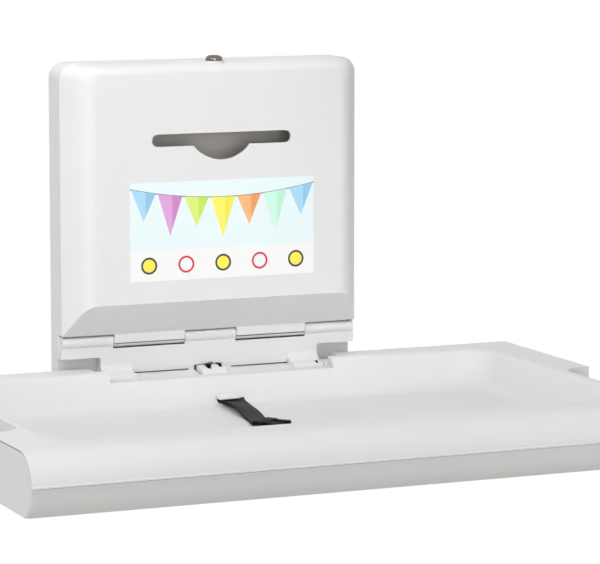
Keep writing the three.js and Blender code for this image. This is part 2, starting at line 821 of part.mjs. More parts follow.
function basin(grow) {
  const section = basinSection(grow);
  const deepest = section[section.length - 1][0];
  const rings = section.map(([u, z]) => {
    const share = Math.max(0, u) / deepest;
    const wish = basinCorner + (floorCorner - basinCorner) * Math.min(1, 4 * share) + grow;
    const corner = Math.min(wish, basinHalfDepth - u - over);
    const outline = roundedRect(-basinHalfWidth + u, basinHalfWidth - u, basinFront + u, basinRear - u,
      [corner, corner, corner, corner], 7);
    return outline.map(([x, y]) => [x, y, z]);
  });
  return loft(rings);
}

// Room behind the tray for the fixed hinge ledge.
function rearCut(grow, low) {
  const half = cutHalf + grow;
  const through = box(-half, half, cutY - grow, trayRear + over, low, over);
  const step = edgeHalf + grow;
  const edge = -edgeDrop - grow;
  const r = stepRound;
  const outline = [[-step, edge], [step, edge], ...arc(step + r, -r, r, r, 180, 90, 4),
    [step + r, over], [-step - r, over], ...arc(-step - r, -r, r, r, 90, 0, 4)];
  return through.add(prismY(outline, trayRear + over, basinRear - 2 * lipRadius));
}

function bagRecess(side, grow) {
  const inner = trayHalf - recessReach - grow;
  const rear = trayRear - recessRear + grow;
  const front = trayRear - recessRear - recessLength - grow;
  const corner = recessCorner + grow;
  const outline = roundedRect(inner, trayHalf + recessCorner + over, front, rear,
    [corner, 1, 1, corner]).map(([x, y]) => [side * x, y]);
  return prismZ(outline, -recessDepth - grow, over);
}

function planOutline(front) {
  return roundedRect(-trayHalf, trayHalf, trayFront, trayRear, [front, front, rearCorner, rearCorner]);
}

// Bead along the foot of the front rounding.
function seamBead() {
  const foot = -seamDrop;
  const soft = beadOut / 2;
  const high = foot + beadHeight;
  return prismX([[trayFront, foot], [trayFront, high - beadOut], [trayFront + soft, high - soft],
    [trayFront + 2 * beadOut, high], [trayFront + shellWall, high], [trayFront + shellWall, foot]],
  -trayHalf, trayHalf);
}

// Outline of an end face, carried from one distance to another at each end of the tray.
function endFaces(shrink, from, to, foot) {
  return mirrored((s) => prismX(blockProfile(shrink, foot), ...alongSide(s, from, to))
    .subtract(bagRecess(s, shrink)));
}

function postPlaces() {
  const front = trayFront + noseDepth;
  const rear = trayRear - rearRim / 2;
  const outer = trayHalf - postInset;
  const end = trayHalf - postSpread;
  const inner = cutHalf + postInset;
  return [[-outer, front], [0, front], [outer, front], [-end, rear], [-inner, rear], [inner, rear],
    [end, rear]];
}

function trayTopShell() {
  const under = -seamDrop;
  let block = prismX(blockProfile(0, under), -trayHalf, trayHalf).add(seamBead());
  block = block.intersect(prismZ(planOutline(sharpCorner), under - over, over));
  block = block.subtract(rearCut(0, under - over));
  block = block.subtract(endFaces(endLip, plateStart - seamGap, trayHalf + over, under - over));
  const inner = plateStart - seamGap - shellWall;
  let hollow = prismX(blockProfile(shellWall, under - over), -inner, inner);
  hollow = hollow.subtract(rearCut(shellWall, under - 2 * over));
  for (const [, s] of sides) {
    block = block.subtract(bagRecess(s, 0));
    hollow = hollow.subtract(bagRecess(s, shellWall));
  }
  let shell = block.subtract(hollow).add(basin(shellWall));
  shell = shell.subtract(rearCut(0, trayBottom));
  for (const [x, y] of postPlaces()) {
    shell = shell.add(rodZ(postRadius, panFloor + seat, -shellWall + over, x, y, roundSmall));
  }
  shell = shell.subtract(basin(0));
  for (const [, s] of sides) {
    shell = shell.subtract(rodX(lugRadius + runGap, s * cutHalf - shellWall - over,
      s * cutHalf + shellWall + over, axisY, axisZ));
  }
  for (const [x, y] of postPlaces()) {
    shell = shell.subtract(rodZ(shellScrew + seat, panFloor - over, panFloor + shellScrewReach + over, x, y,
      roundTiny));
  }
  return shell.subtract(strapSlot(basinRear, -1)).subtract(strapSlot(basinFront, 1))
    .subtract(armScrewHoles());
}

// Slot through a long wall of the basin, from behind the wall to the foot of its curve.
function strapSlot(edge, inward) {
  const half = strapWidth / 2 + slotClear;
  const height = strapThickness / 2 + slotClear * 0.8;
  const ends = [edge + inward * strapInset / 2, edge + inward * 2 * floorRadius].sort((a, b) => a - b);
  return box(strapX - half, strapX + half, ends[0], ends[1], strapZ - height, strapZ + height);
}

function panProfile(shrink, top) {
  const low = trayBottom + shrink;
  const lean = stripLean / (trayThickness - seamDrop - seamGap);
  const edge = trayFront + seamLip + shrink;
  const at = (z) => edge + (-seamDrop - seamGap - z) * lean;
  const soft = edgeRound - shrink;
  const rear = trayRear - shrink;
  return [[edge - (top + seamDrop + seamGap) * lean, top], [at(low + soft), low + soft],
    [at(low) + soft / 2, low], [rear - soft, low], [rear, low + soft], [rear, top]];
}

function trayBottomShell() {
  const seamTop = -seamDrop - seamGap;
  let shell = prismX(panProfile(0, seamTop), -trayHalf, trayHalf);
  shell = shell.intersect(prismZ(planOutline(frontCorner), trayBottom - over, over));
  shell = shell.add(endFaces(endLip + endGap, plateStart, trayHalf, seamTop - over)
    .intersect(prismZ(planOutline(sharpCorner), trayBottom - over, over)));
  let hollow = prismX(panProfile(panWall, seamTop + 2 * over), -plateStart, plateStart);
  hollow = hollow.subtract(box(-cutHalf - panWall, cutHalf + panWall, cutY - panWall, trayRear + over,
    trayBottom - over, over));
  shell = shell.subtract(hollow);
  shell = shell.subtract(box(-cutHalf, cutHalf, cutY, trayRear + over, trayBottom - over, over));
  for (const [x, y] of postPlaces()) {
    shell = shell.subtract(rodZ(shellScrew + seat, trayBottom - over, panFloor + over, x, y, roundTiny));
    shell = shell.subtract(rodZ(shellHead + seat, trayBottom - over, trayBottom + shellHeadDepth, x, y,
      roundSmall));
  }
  return shell.subtract(armScrewHoles());
}

function shellScrewPiece(x, y) {
  const head = trayBottom + shellHeadDepth - seat;
  return rodZ(shellHead, trayBottom, head, x, y, roundSmall)
    .add(rodZ(shellScrew, head - seat, panFloor + shellScrewReach, x, y, roundTiny));
}

// Tray side of the hinge

function stopPad(side) {
  const [x0, x1] = alongSide(side, cutHalf + shellWall, cutHalf + shellWall + padWidth);
  const low = -panelDrop + padRise;
  return box(x0, x1, trayRear + seat, -lowerFront - seat, low, low + padHeight);
}

function hingeBlock(side) {
  const bodyStart = cutHalf + shellWall + 2 * seat;
  const bodyEnd = bodyStart + blockLength;
  const [b0, b1] = alongSide(side, bodyStart, bodyEnd);
  const [l0, l1] = alongSide(side, lugStart, bodyStart + over);
  const [h0, h1] = alongSide(side, lugStart - over, bodyStart + over);
  const rear = trayRear - shellWall - 2 * seat;
  return rodX(lugRadius, l0, l1, axisY, axisZ)
    .add(box(b0, b1, axisY - lugRadius, rear, panFloor + over, -shellWall - seat))
    .subtract(rodX(barrelBore, h0, h1, axisY, axisZ));
}

function hingeBush(side) {
  const [x0, x1] = alongSide(side, lugStart, cutHalf + shellWall);
  const [h0, h1] = alongSide(side, lugStart - over, cutHalf + shellWall + over);
  return rodX(barrelBore - seat, x0, x1, axisY, axisZ)
    .subtract(rodX(pinRadius + seat, h0, h1, axisY, axisZ));
}

function hingePin(side) {
  const [x0, x1] = alongSide(side, ledgeHalf - pinInLedge + seat, cutHalf + shellWall);
  return rodX(pinRadius, x0, x1, axisY, axisZ);
}

// Gas spring, its arm and the yoke between them

const pinY = axisY + armRadius * Math.cos(armAngle * rad);
const pinZ = axisZ + armRadius * Math.sin(armAngle * rad);
const yokeTop = pinZ + yokeRise;

function armScrewPlaces() {
  const z = trayBottom + armScrewRise;
  return [[-armScrewX, z], [armScrewX, z]];
}

function armScrewHoles() {
  let all = null;
  for (const [x, z] of armScrewPlaces()) {
    const hole = rodY(shellScrew + seat, cutY - 2 * shellWall, trayRear, x, z, roundTiny);
    all = all ? all.add(hole) : hole;
  }
  return all;
}

function damperArm() {
  const flat = ledgeTop;
  const face = cutY + seat;
  const plate = face + armPlate;
  const foot = trayBottom + armFoot;
  const tail = axisY + armTail;
  const behind = -apronFront + apronWall + 1.5;
  const tab = prismX([[face, foot], [plate, foot], [plate, axisZ - 17], [axisY + 4, axisZ - 8],
    [tail, axisZ - 4], [tail, tabTop - 1], [tail - 1, tabTop], [tail - 5, tabTop], [axisY, flat],
    [axisY - 6, flat], [face, flat - 6]], tabX - armHalf, tabX + armHalf);
  const slotMiddle = -riserHalf - seat - tabSlotHalf;
  const opening = box(slotMiddle - tabSlotHalf, slotMiddle + tabSlotHalf, axisY - 6, tail + over,
    tabTop - tabSlotDepth, tabTop + over);
  const riser = prismX([[tail - 4, flat - 1], [tail - 4, axisZ + 1], [behind + 2, axisZ + 1],
    [pinY + armBoss - 2, axisZ + 5], [pinY + armBoss - 1, pinZ], [pinY - armBoss + 1, pinZ],
    [behind, flat - 1]], -riserHalf, riserHalf);
  let arm = tab.subtract(opening).add(riser).add(rodX(armBoss, -bossHalf, bossHalf, pinY, pinZ));
  arm = arm.subtract(rodX(armPinRadius + seat, -yokeHalf, yokeHalf, pinY, pinZ));
  for (const [x, z] of armScrewPlaces()) {
    arm = arm.subtract(rodY(shellScrew + seat, face - over, plate + over, x, z, roundTiny));
  }
  return arm;
}

function damperArmScrew(x, z) {
  const head = cutY + 2 * seat + armPlate;
  return rodY(2 * shellScrew, head, head + shellScrew, x, z, roundSmall)
    .add(rodY(shellScrew, cutY - 2 * shellWall + seat, head + seat, x, z, roundTiny));
}

function rodYoke() {
  const front = -apronFront + apronWall + runGap;
  const back = springY + springRadius - 2 * over;
  const slotHalfHeight = armPinRadius + yokeGap;
  const bridgeZ = pinZ + armBoss + yokeGap + runGap;
  const low = pinZ - yokeDrop;
  const slotFront = pinY - armPinRadius - runGap;
  const slotBack = axisY + armRadius + armPinRadius + runGap;
  const bridge = box(-yokeHalf, yokeHalf, front, back, bridgeZ, yokeTop);
  return bridge.add(mirroredBox(yokeHalf - yokeCheek, yokeHalf, front, back, low, yokeTop))
    .subtract(box(-yokeHalf - over, yokeHalf + over, slotFront, slotBack, pinZ - slotHalfHeight,
      pinZ + slotHalfHeight))
    .subtract(rodZ(rodThickness + seat, yokeTop - yokeSocket, yokeTop + over, 0, springY));
}

function pistonRod() {
  const low = yokeTop - yokeSocket + seat;
  return rodZ(rodThickness, low, low + rodLength, 0, springY);
}

function springCylinder() {
  const bore = yokeTop + rodLength + 2 * yokeSocket;
  return rodZ(springRadius, springFoot, springTop, 0, springY)
    .add(box(-eyeHalf, eyeHalf, springY - eyeHalf, springY + eyeHalf, springTop - over, eyeZ + eyeHalf))
    .subtract(rodZ(rodThickness + seat, springFoot - over, bore, 0, springY))
    .subtract(rodX(eyePin + seat, -2 * eyeHalf, 2 * eyeHalf, springY, eyeZ));
}

function springBracket() {
  const back = -plateThickness - seat;
  const base = springY + eyeHalf + seat;
  const low = springTop + seat;
  const ear = eyeHalf + over;
  return box(-bracketHalf, bracketHalf, base, back, low, eyeZ + bracketHalf)
    .add(mirroredBox(ear, ear + earThickness, springY - eyeHalf, back, low, eyeZ + springEye))
    .subtract(rodX(eyePin + seat, -2 * eyeHalf, 2 * eyeHalf, springY, eyeZ));
}

// Strap and buckle

// Flat webbing along a route of (x, y, z) points, each with the turn and roll of its width.
function webbing(route) {
  const half = strapWidth / 2;
  const rings = route.map(([x, y, z, turn, roll = 0], i) => {
    const before = route[Math.max(0, i - 1)];
    const after = route[Math.min(route.length - 1, i + 1)];
    const along = new THREE.Vector3(after[0] - before[0], after[1] - before[1], after[2] - before[2]);
    const level = Math.cos(roll * rad);
    const across = new THREE.Vector3(level * Math.cos(turn * rad), level * Math.sin(turn * rad),
      -Math.sin(roll * rad));
    const normal = across.clone().cross(along.normalize()).normalize();
    if (normal.z < 0) normal.negate();
    const middle = new THREE.Vector3(x, y, z);
    const corner = (u, w) => middle.clone().addScaledVector(across, u * half)
      .addScaledVector(normal, w * strapThickness / 2).toArray();
    return [corner(-1, -1), corner(1, -1), corner(1, 1), corner(-1, 1)];
  });
  return loft(rings);
}

function socketLevel() {
  return Math.max(floorAt(socketY), floorAt(socketY - socketLength)) + strapLift;
}

function onFloor(y, lift) {
  return floorAt(y) + lift + strapThickness / 2;
}

// Rows of a route: share of the way, the shift sideways, the drop to the floor, the turn and the roll.
const rearRoute = [[0, 0, 0, 0, 0], [0.12, 0, 0.03, 0.08, 0.05], [0.234, 0, 0.1, 0.1, 0.55],
  [0.3, 0.02, 0.1, 0.1, 0.85], [0.372, 0.05, 0.14, 0.14, 1], [0.44, 0.09, 0.28, 0.25, 0.9],
  [0.504, 0.14, 0.46, 0.38, 0.68], [0.57, 0.19, 0.65, 0.52, 0.44], [0.635, 0.25, 0.82, 0.65, 0.22],
  [0.76, 0.4, 0.98, 0.84, 0.04], [0.88, 0.68, 0.95, 0.94, 0]];
const frontRoute = [[0, 0, 0, 0, 0], [0.22, 0, 0, 0, 0], [0.36, 0, 0.1, 0, 0], [0.5, 0, 0.5, 0, 0],
  [0.62, 0, 0.95, 0, 0], [0.8, 0, 0.9, 0, 0]];

function laid(rows, from, to, shift, turn) {
  return rows.map(([along, sideways, drop, bend, roll]) => {
    const y = from + (to - from) * along;
    const z = strapZ + (onFloor(y, strapLift) - strapZ) * drop;
    return [strapX + shift * sideways, y, z, turn * bend, strapRoll * roll];
  });
}

function rearStrap() {
  const tongueGrip = slitDepth - 1.5 * over;
  const inward = [Math.cos(tongueTurn * rad), Math.sin(tongueTurn * rad)];
  const slit = floorAt(tongueY) + strapLift + tongueHeight / 2;
  const turn = 90 + tongueTurn;
  return webbing([...laid(rearRoute, basinRear - strapInset, tongueY, tongueX - strapX, turn),
    [tongueX - inward[0], tongueY - inward[1], slit, turn],
    [tongueX + inward[0] * tongueGrip, tongueY + inward[1] * tongueGrip, slit, turn]]);
}

function frontStrap() {
  const slit = socketLevel() + socketHeight / 2;
  const socketEnd = socketY - socketLength;
  return webbing([...laid(frontRoute, basinFront + strapInset, socketEnd, 0, 0),
    [strapX, socketEnd - 2 * over, slit, 0],
    [strapX, socketEnd + slitDepth - 1.5 * over, slit, 0]]);
}

function strapAnchor(y, towards) {
  const half = strapWidth / 2 + 4 * slotClear;
  const near = y - towards * seat;
  const [y0, y1] = [near, near - towards * anchorThickness].sort((a, b) => a - b);
  return box(strapX - half, strapX + half, y0, y1, strapZ - anchorHalfHeight, strapZ + anchorHalfHeight);
}

function buckleTongue() {
  const slit = strapThickness / 2 + slitClear;
  const half = strapWidth / 2 + slitClear;
  const middle = tongueHeight / 2;
  const plan = roundedRect(0, tongueLength, -tongueHalf, tongueHalf, [3, 1, 1, 3], 3);
  return prismZ(plan, 0, tongueHeight)
    .add(box(tongueLength - over, tongueLength + prongLength - 4, -riserHalf, riserHalf, prongThin,
      tongueHeight - prongThin))
    .subtract(box(-over, slitDepth, -half, half, middle - slit, middle + slit));
}

function buckleProng(side) {
  const root = tongueLength + runGap;
  const tip = root + prongLength;
  const outer = tongueHalf - 4;
  const outline = [[root, prongInner], [root, outer], [tip - 11, outer + 2.6], [tip - 9, tongueHalf],
    [tip - 6, tongueHalf], [tip, outer - 2.5], [tip, prongInner + over / 2], [tip - 7, prongInner]];
  return prismZ(outline.map(([u, v]) => [u, side * v]), prongThin, tongueHeight - prongThin);
}

function buckleSocket() {
  const slit = strapThickness / 2 + slitClear;
  const middle = socketHeight / 2;
  const half = strapWidth / 2 + slitClear;
  const plan = roundedRect(-socketHalf, socketHalf, -socketLength, 0, [5, 5, 3, 3], 4);
  const inner = socketHalf - socketWall;
  const top = socketHeight - socketWall;
  return prismZ(plan, 0, socketHeight)
    .subtract(box(-inner, inner, -socketLength + 1.5 * slitDepth, over, socketWall, top))
    .subtract(mirroredBox(inner - over, socketHalf + over, -socketLength * 0.55, -socketLength * 0.25,
      socketWall, top))
    .subtract(box(-half, half, -socketLength - over, -socketLength + slitDepth, middle - slit,
      middle + slit));
}

// The assembly

place("rear_housing", housing(), "whitePlastic");
place("wall_plate", wallPlate(), "zincSteel");
place("liner_holder", linerHolder(), "greyPlastic");
screwPlaces().forEach(([x, z], i) => place(`housing_screw_${i + 1}`, housingScrew(x, z), "zincSteel"));
place("door_hinge_rod", rodX(rodRadius, -rodEnd, rodEnd, doorAxisY, doorAxisZ), "brightSteel");
place("lock_keeper", lockKeeper(), "zincSteel");
place("spring_cylinder", springCylinder(), "blackSteel");
place("spring_bracket", springBracket(), "zincSteel");
place("spring_anchor_pin", rodX(eyePin, -1.5 * eyeHalf, 1.5 * eyeHalf, springY, eyeZ), "brightSteel");
place("keeper_screw", keeperScrewPiece(), "zincSteel");

for (const [side, s] of sides) {
  place(`tray_hinge_pin_${side}`, hingePin(s), "brightSteel");
  place(`stop_pad_${side}`, stopPad(s), "rubber");
}

place("dispenser_door", dispenserDoor(), "whitePlastic");
place("door_label", doorLabel(), "labelFilm");
place("lock_barrel", lockBarrel(), "brightSteel");
place("lock_nut", lockNut(), "zincSteel");
place("lock_plug", lockPlug(), "brass");
place("lock_cam", lockCam(), "zincSteel");
place("cam_screw", camScrew(), "zincSteel");

place("tray_top_shell", trayTopShell(), "whitePlastic");
place("tray_bottom_shell", trayBottomShell(), "whitePlastic");
postPlaces().forEach(([x, y], i) => place(`shell_screw_${i + 1}`, shellScrewPiece(x, y), "zincSteel"));
for (const [side, s] of sides) {
  place(`hinge_block_${side}`, hingeBlock(s), "whitePlastic");
  place(`hinge_bush_${side}`, hingeBush(s), "acetal");
}
place("damper_arm", damperArm(), "whitePlastic");
place("damper_arm_pin", rodX(armPinRadius, -yokeHalf, yokeHalf, pinY, pinZ), "brightSteel");
armScrewPlaces().forEach(([x, z], i) => {
  place(`damper_arm_screw_${i + 1}`, damperArmScrew(x, z), "zincSteel");
});

place("rod_yoke", rodYoke(), "zincSteel");
place("piston_rod", pistonRod(), "brightSteel");

place("strap_rear", rearStrap(), "blackWebbing");
place("strap_front", frontStrap(), "blackWebbing");
place("strap_anchor_rear", strapAnchor(basinRear - strapInset, -1), "zincSteel");
place("strap_anchor_front", strapAnchor(basinFront + strapInset, 1), "zincSteel");

const tongue = new THREE.Group();
tongue.position.set(tongueX, tongueY, floorAt(tongueY) + strapLift);
tongue.rotation.z = tongueTurn * rad;
station.add(tongue);
place("buckle_tongue", buckleTongue(), "blackPlastic", tongue);
for (const [side, s] of sides) {
  place(`buckle_prong_${side}`, buckleProng(-s), "blackPlastic", tongue);
}

const socket = new THREE.Group();
socket.position.set(strapX, socketY, socketLevel());
station.add(socket);
place("buckle_socket", buckleSocket(), "blackPlastic", socket);

export default station;
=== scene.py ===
import json
import math

import bmesh
import bpy
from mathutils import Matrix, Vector


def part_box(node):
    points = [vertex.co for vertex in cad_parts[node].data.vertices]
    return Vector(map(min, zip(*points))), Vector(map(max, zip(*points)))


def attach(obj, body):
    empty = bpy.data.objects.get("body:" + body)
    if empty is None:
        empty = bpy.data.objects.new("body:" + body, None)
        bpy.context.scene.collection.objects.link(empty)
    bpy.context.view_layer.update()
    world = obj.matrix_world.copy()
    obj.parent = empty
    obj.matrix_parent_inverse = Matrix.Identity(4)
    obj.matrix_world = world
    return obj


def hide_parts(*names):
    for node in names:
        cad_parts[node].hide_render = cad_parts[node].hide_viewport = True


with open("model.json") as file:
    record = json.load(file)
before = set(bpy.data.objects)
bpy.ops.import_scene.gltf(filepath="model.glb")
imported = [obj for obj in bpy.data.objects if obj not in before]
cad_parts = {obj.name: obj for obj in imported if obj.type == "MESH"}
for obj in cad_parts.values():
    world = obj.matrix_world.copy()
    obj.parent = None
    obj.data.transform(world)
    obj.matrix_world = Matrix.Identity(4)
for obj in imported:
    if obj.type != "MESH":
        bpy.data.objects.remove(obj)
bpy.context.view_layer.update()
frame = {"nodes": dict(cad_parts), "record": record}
nodes = frame["nodes"]
scene = bpy.context.scene
scene.view_settings.view_transform = "Standard"
mm = 0.001
print("frame loaded,", len(nodes), "nodes")


# camera: a long lens, a little left of the middle and a little above the rim
cameraSetup = {      # mm and degrees
    "lens": 190.12,
    "sensor": 36,
    "target": (145.26, 0.0, 90.83),
    "distance": 4222.7,
    "azimuth": -23.43,
    "elevation": 7.547,
    "nearest": 100,
    "farthest": 60000,
}


def addCamera(setup):
    azimuth = math.radians(setup["azimuth"])
    elevation = math.radians(setup["elevation"])
    level = math.cos(elevation)
    back = Vector((math.sin(azimuth) * level, -math.cos(azimuth) * level, math.sin(elevation)))
    data = bpy.data.cameras.new("camera")
    data.sensor_width = setup["sensor"]
    data.lens = setup["lens"]
    data.clip_start = setup["nearest"] * mm
    data.clip_end = setup["farthest"] * mm
    camera = bpy.data.objects.new("camera", data)
    scene.collection.objects.link(camera)
    camera.location = (Vector(setup["target"]) + back * setup["distance"]) * mm
    camera.rotation_mode = "QUATERNION"
    camera.rotation_quaternion = (-back).to_track_quat("-Z", "Y")
    scene.camera = camera


addCamera(cameraSetup)
print("camera placed")


# colours are written as sRGB hex and used as linear values
def linear(hexText):
    channels = [int(hexText[i:i + 2], 16) / 255 for i in (1, 3, 5)]
    return (*[c / 12.92 if c <= 0.04045 else ((c + 0.055) / 1.055) ** 2.4 for c in channels], 1)


# links: socket name or number on the new node -> (node, its output)
def addNode(tree, kind, settings=None, values=None, links=None):
    node = tree.nodes.new("ShaderNode" + kind)
    for key, value in (settings or {}).items():
        setattr(node, key, value)
    for key, value in (values or {}).items():
        node.inputs[key].default_value = value
    for key, (source, output) in (links or {}).items():
        tree.links.new(source.outputs[output], node.inputs[key])
    return node


def newMaterial(name, values):
    material = bpy.data.materials.new(name)
    material.use_nodes = True
    tree = material.node_tree
    shader = tree.nodes["Principled BSDF"]
    for key, value in values.items():
        shader.inputs[key].default_value = value
    return material, tree, shader


def feedShader(tree, shader, sources):
    for socket, source in sources.items():
        tree.links.new(source.outputs[0], shader.inputs[socket])


# stage: a white floor that runs to the horizon, a dim sky and soft boxes
stageLook = {      # m
    "floorDrop": 0.80,        # below the rim, about the height such a tray hangs at
    "floorSize": 40,
    "floorColour": "#b6b3ae",
    "floorRoughness": 0.9,
    "floorGlow": 0.72,        # only where it is seen, lifts the floor to white
    "skySeen": 1.0,        # white where it is seen
    "skyStrength": 0.64,
    "skyLean": (-0.25, 0.0, 0.0),      # how much brighter towards +x, +y and +z
    "lamps": [      # aim in mm; spread in degrees, how far the box's grid lets the light fan out
        {"name": "door beam", "from": (-0.15, -0.75, 0.65), "aim": (-20, -60, 300),
         "distance": 2.6, "size": 0.5, "spread": 20, "power": 0.33},
        {"name": "top left box", "from": (-0.60, -0.35, 0.75), "aim": (-150, -300, 0),
         "distance": 1.7, "size": 0.9, "spread": 180, "power": 10.4},
        {"name": "low box", "from": (-0.20, -0.95, 0.05), "aim": (0, -300, 0),
         "distance": 3.2, "size": 1.4, "spread": 180, "power": 23.3},
        {"name": "nose beam", "from": (0.25, -0.95, 0.25), "aim": (470, -560, -20),
         "distance": 2.4, "size": 0.5, "spread": 22, "power": 0.16},
    ],
}
white = (1, 1, 1, 1)


def addLamp(look):
    lamp = bpy.data.lights.new(look["name"], "AREA")
    lamp.shape = "SQUARE"
    lamp.size = look["size"]
    lamp.energy = look["power"]
    lamp.spread = math.radians(look["spread"])
    box = bpy.data.objects.new(look["name"], lamp)
    scene.collection.objects.link(box)
    towards = Vector(look["from"]).normalized()
    box.location = towards * look["distance"] + Vector(look["aim"]) * mm
    box.rotation_mode = "QUATERNION"
    box.rotation_quaternion = towards.to_track_quat("Z", "Y")


# 1 where the camera sees a surface straight, in a mirror or through glass, else 0
def seenDirectly(tree):
    path = addNode(tree, "LightPath")
    seen = addNode(tree, "Math", {"operation": "MAXIMUM"}, None,
                   {0: (path, "Is Camera Ray"), 1: (path, "Is Glossy Ray")})
    return addNode(tree, "Math", {"operation": "MAXIMUM"}, None,
                   {0: (seen, 0), 1: (path, "Is Transmission Ray")})


def buildSky(look):
    world = bpy.data.worlds.new("studio")
    scene.world = world
    world.use_nodes = True
    tree = world.node_tree
    background = tree.nodes["Background"]
    background.inputs["Color"].default_value = white
    seen = seenDirectly(tree)
    place = addNode(tree, "TexCoord")
    lean = addNode(tree, "VectorMath", {"operation": "DOT_PRODUCT"}, {1: look["skyLean"]},
                   {0: (place, "Generated")})
    light = addNode(tree, "Math", {"operation": "ADD"}, {1: look["skyStrength"]}, {0: (lean, "Value")})
    strength = addNode(tree, "MapRange", None, {"To Max": look["skySeen"]},
                       {"Value": (seen, 0), "To Min": (light, 0)})
    feedShader(tree, background, {"Strength": strength})


def buildFloor(look):
    bpy.ops.mesh.primitive_grid_add(x_subdivisions=4, y_subdivisions=4, size=look["floorSize"],
                                    location=(0, 0, -look["floorDrop"]))
    floor = bpy.context.object
    floor.name = "studio_floor"
    material, tree, shader = newMaterial("painted studio floor", {
        "Base Color": linear(look["floorColour"]), "Roughness": look["floorRoughness"],
        "Specular IOR Level": 0.0, "Emission Color": white})
    seen = seenDirectly(tree)
    glow = addNode(tree, "Math", {"operation": "MULTIPLY"}, {1: look["floorGlow"]}, {0: (seen, 0)})
    feedShader(tree, shader, {"Emission Strength": glow})
    floor.data.materials.append(material)


buildSky(stageLook)
buildFloor(stageLook)
for lampLook in stageLook["lamps"]:
    addLamp(lampLook)
print("stage lit")


# rotomoulded polyethylene: off-white satin skin, with a fine pebble that breaks up the highlights,
# faint clouds where the wall cooled unevenly, and painted shade in wide recesses and in narrow gaps between
# parts
plasticLook = {      # mm; open and shut are shares of free sky, between which the painted shade tone comes in
    "ior": 1.51,
    "tones": ("#dddcdc", "#e0dfe0"), "cloud": 110,
    # painted shade, off here: a darker tone in wide recesses with little free sky
    "hollow": {"tone": "#8d8a86", "reach": 45, "open": 0.85, "shut": 0.35, "strength": 0.0},
    # painted shade: a near-black tone in narrow gaps and creases between parts
    "joint": {"tone": "#3a3835", "reach": 7, "open": 0.42, "shut": 0.1, "strength": 1.0},
    "pebble": 1.4, "relief": 0.05, "depth": 0.3, "gloss": (0.42, 0.52),
}
# the tray's plastic takes the painted shade in its wide recesses too
trayPlasticLook = {**plasticLook, "hollow": {**plasticLook["hollow"], "strength": 0.4}}
shadeRays = 8


# painted shade: the skin takes a darker tone where its surroundings leave little free sky
def shadedSkin(tree, skin, look):
    sky = addNode(tree, "AmbientOcclusion", {"samples": shadeRays}, {"Distance": look["reach"] * mm})
    share = addNode(tree, "MapRange", None,
                    {"From Min": look["open"], "From Max": look["shut"], "To Max": look["strength"]},
                    {"Value": (sky, "AO")})
    return addNode(tree, "MixRGB", None, {"Color2": linear(look["tone"])},
                   {"Fac": (share, 0), "Color1": (skin, 0)})


def mouldedPolyethylene(name, look):
    material, tree, shader = newMaterial(name, {"IOR": look["ior"]})
    place = addNode(tree, "TexCoord")
    cloud = addNode(tree, "TexNoise", None, {"Scale": 1 / (look["cloud"] * mm), "Detail": 3.0},
                    {"Vector": (place, "Object")})
    skin = addNode(tree, "MixRGB", None,
                   {"Color1": linear(look["tones"][0]), "Color2": linear(look["tones"][1])},
                   {"Fac": (cloud, "Fac")})
    # painted shade in wide recesses, then painted shade in narrow gaps and creases
    skin = shadedSkin(tree, skin, look["hollow"])
    skin = shadedSkin(tree, skin, look["joint"])
    pebble = addNode(tree, "TexNoise", None, {"Scale": 1 / (look["pebble"] * mm), "Detail": 2.0},
                     {"Vector": (place, "Object")})
    bump = addNode(tree, "Bump", None, {"Strength": look["relief"], "Distance": look["depth"] * mm},
                   {"Height": (pebble, "Fac")})
    gloss = addNode(tree, "MapRange", None, {"To Min": look["gloss"][0], "To Max": look["gloss"][1]},
                    {"Value": (pebble, "Fac")})
    feedShader(tree, shader, {"Base Color": skin, "Normal": bump, "Roughness": gloss})
    return material


# a mottled skin: a large soft cloud of two tones and a fine grain in the bump and the gloss
def grainedMaterial(name, look):
    material, tree, shader = newMaterial(name, {
        "Metallic": look.get("metallic", 0.0), "Specular IOR Level": look.get("specular", 0.5)})
    place = addNode(tree, "TexCoord")
    across = addNode(tree, "Mapping", None, {"Scale": look.get("stretch", (1, 1, 1))},
                     {"Vector": (place, "Object")})
    cloud = addNode(tree, "TexNoise", None, {"Scale": 1 / (look["cloud"] * mm), "Detail": 2.0},
                    {"Vector": (across, 0)})
    tone = addNode(tree, "MixRGB", None,
                   {"Color1": linear(look["tones"][0]), "Color2": linear(look["tones"][1])},
                   {"Fac": (cloud, "Fac")})
    grain = addNode(tree, "TexNoise", None, {"Scale": 1 / (look["grain"] * mm), "Detail": 2.0},
                    {"Vector": (across, 0)})
    bump = addNode(tree, "Bump", None, {"Strength": look["relief"], "Distance": grainDepth * mm},
                   {"Height": (grain, "Fac")})
    gloss = addNode(tree, "MapRange", None, {"To Min": look["gloss"][0], "To Max": look["gloss"][1]},
                    {"Value": (grain, "Fac")})
    feedShader(tree, shader, {"Base Color": tone, "Normal": bump, "Roughness": gloss})
    return material


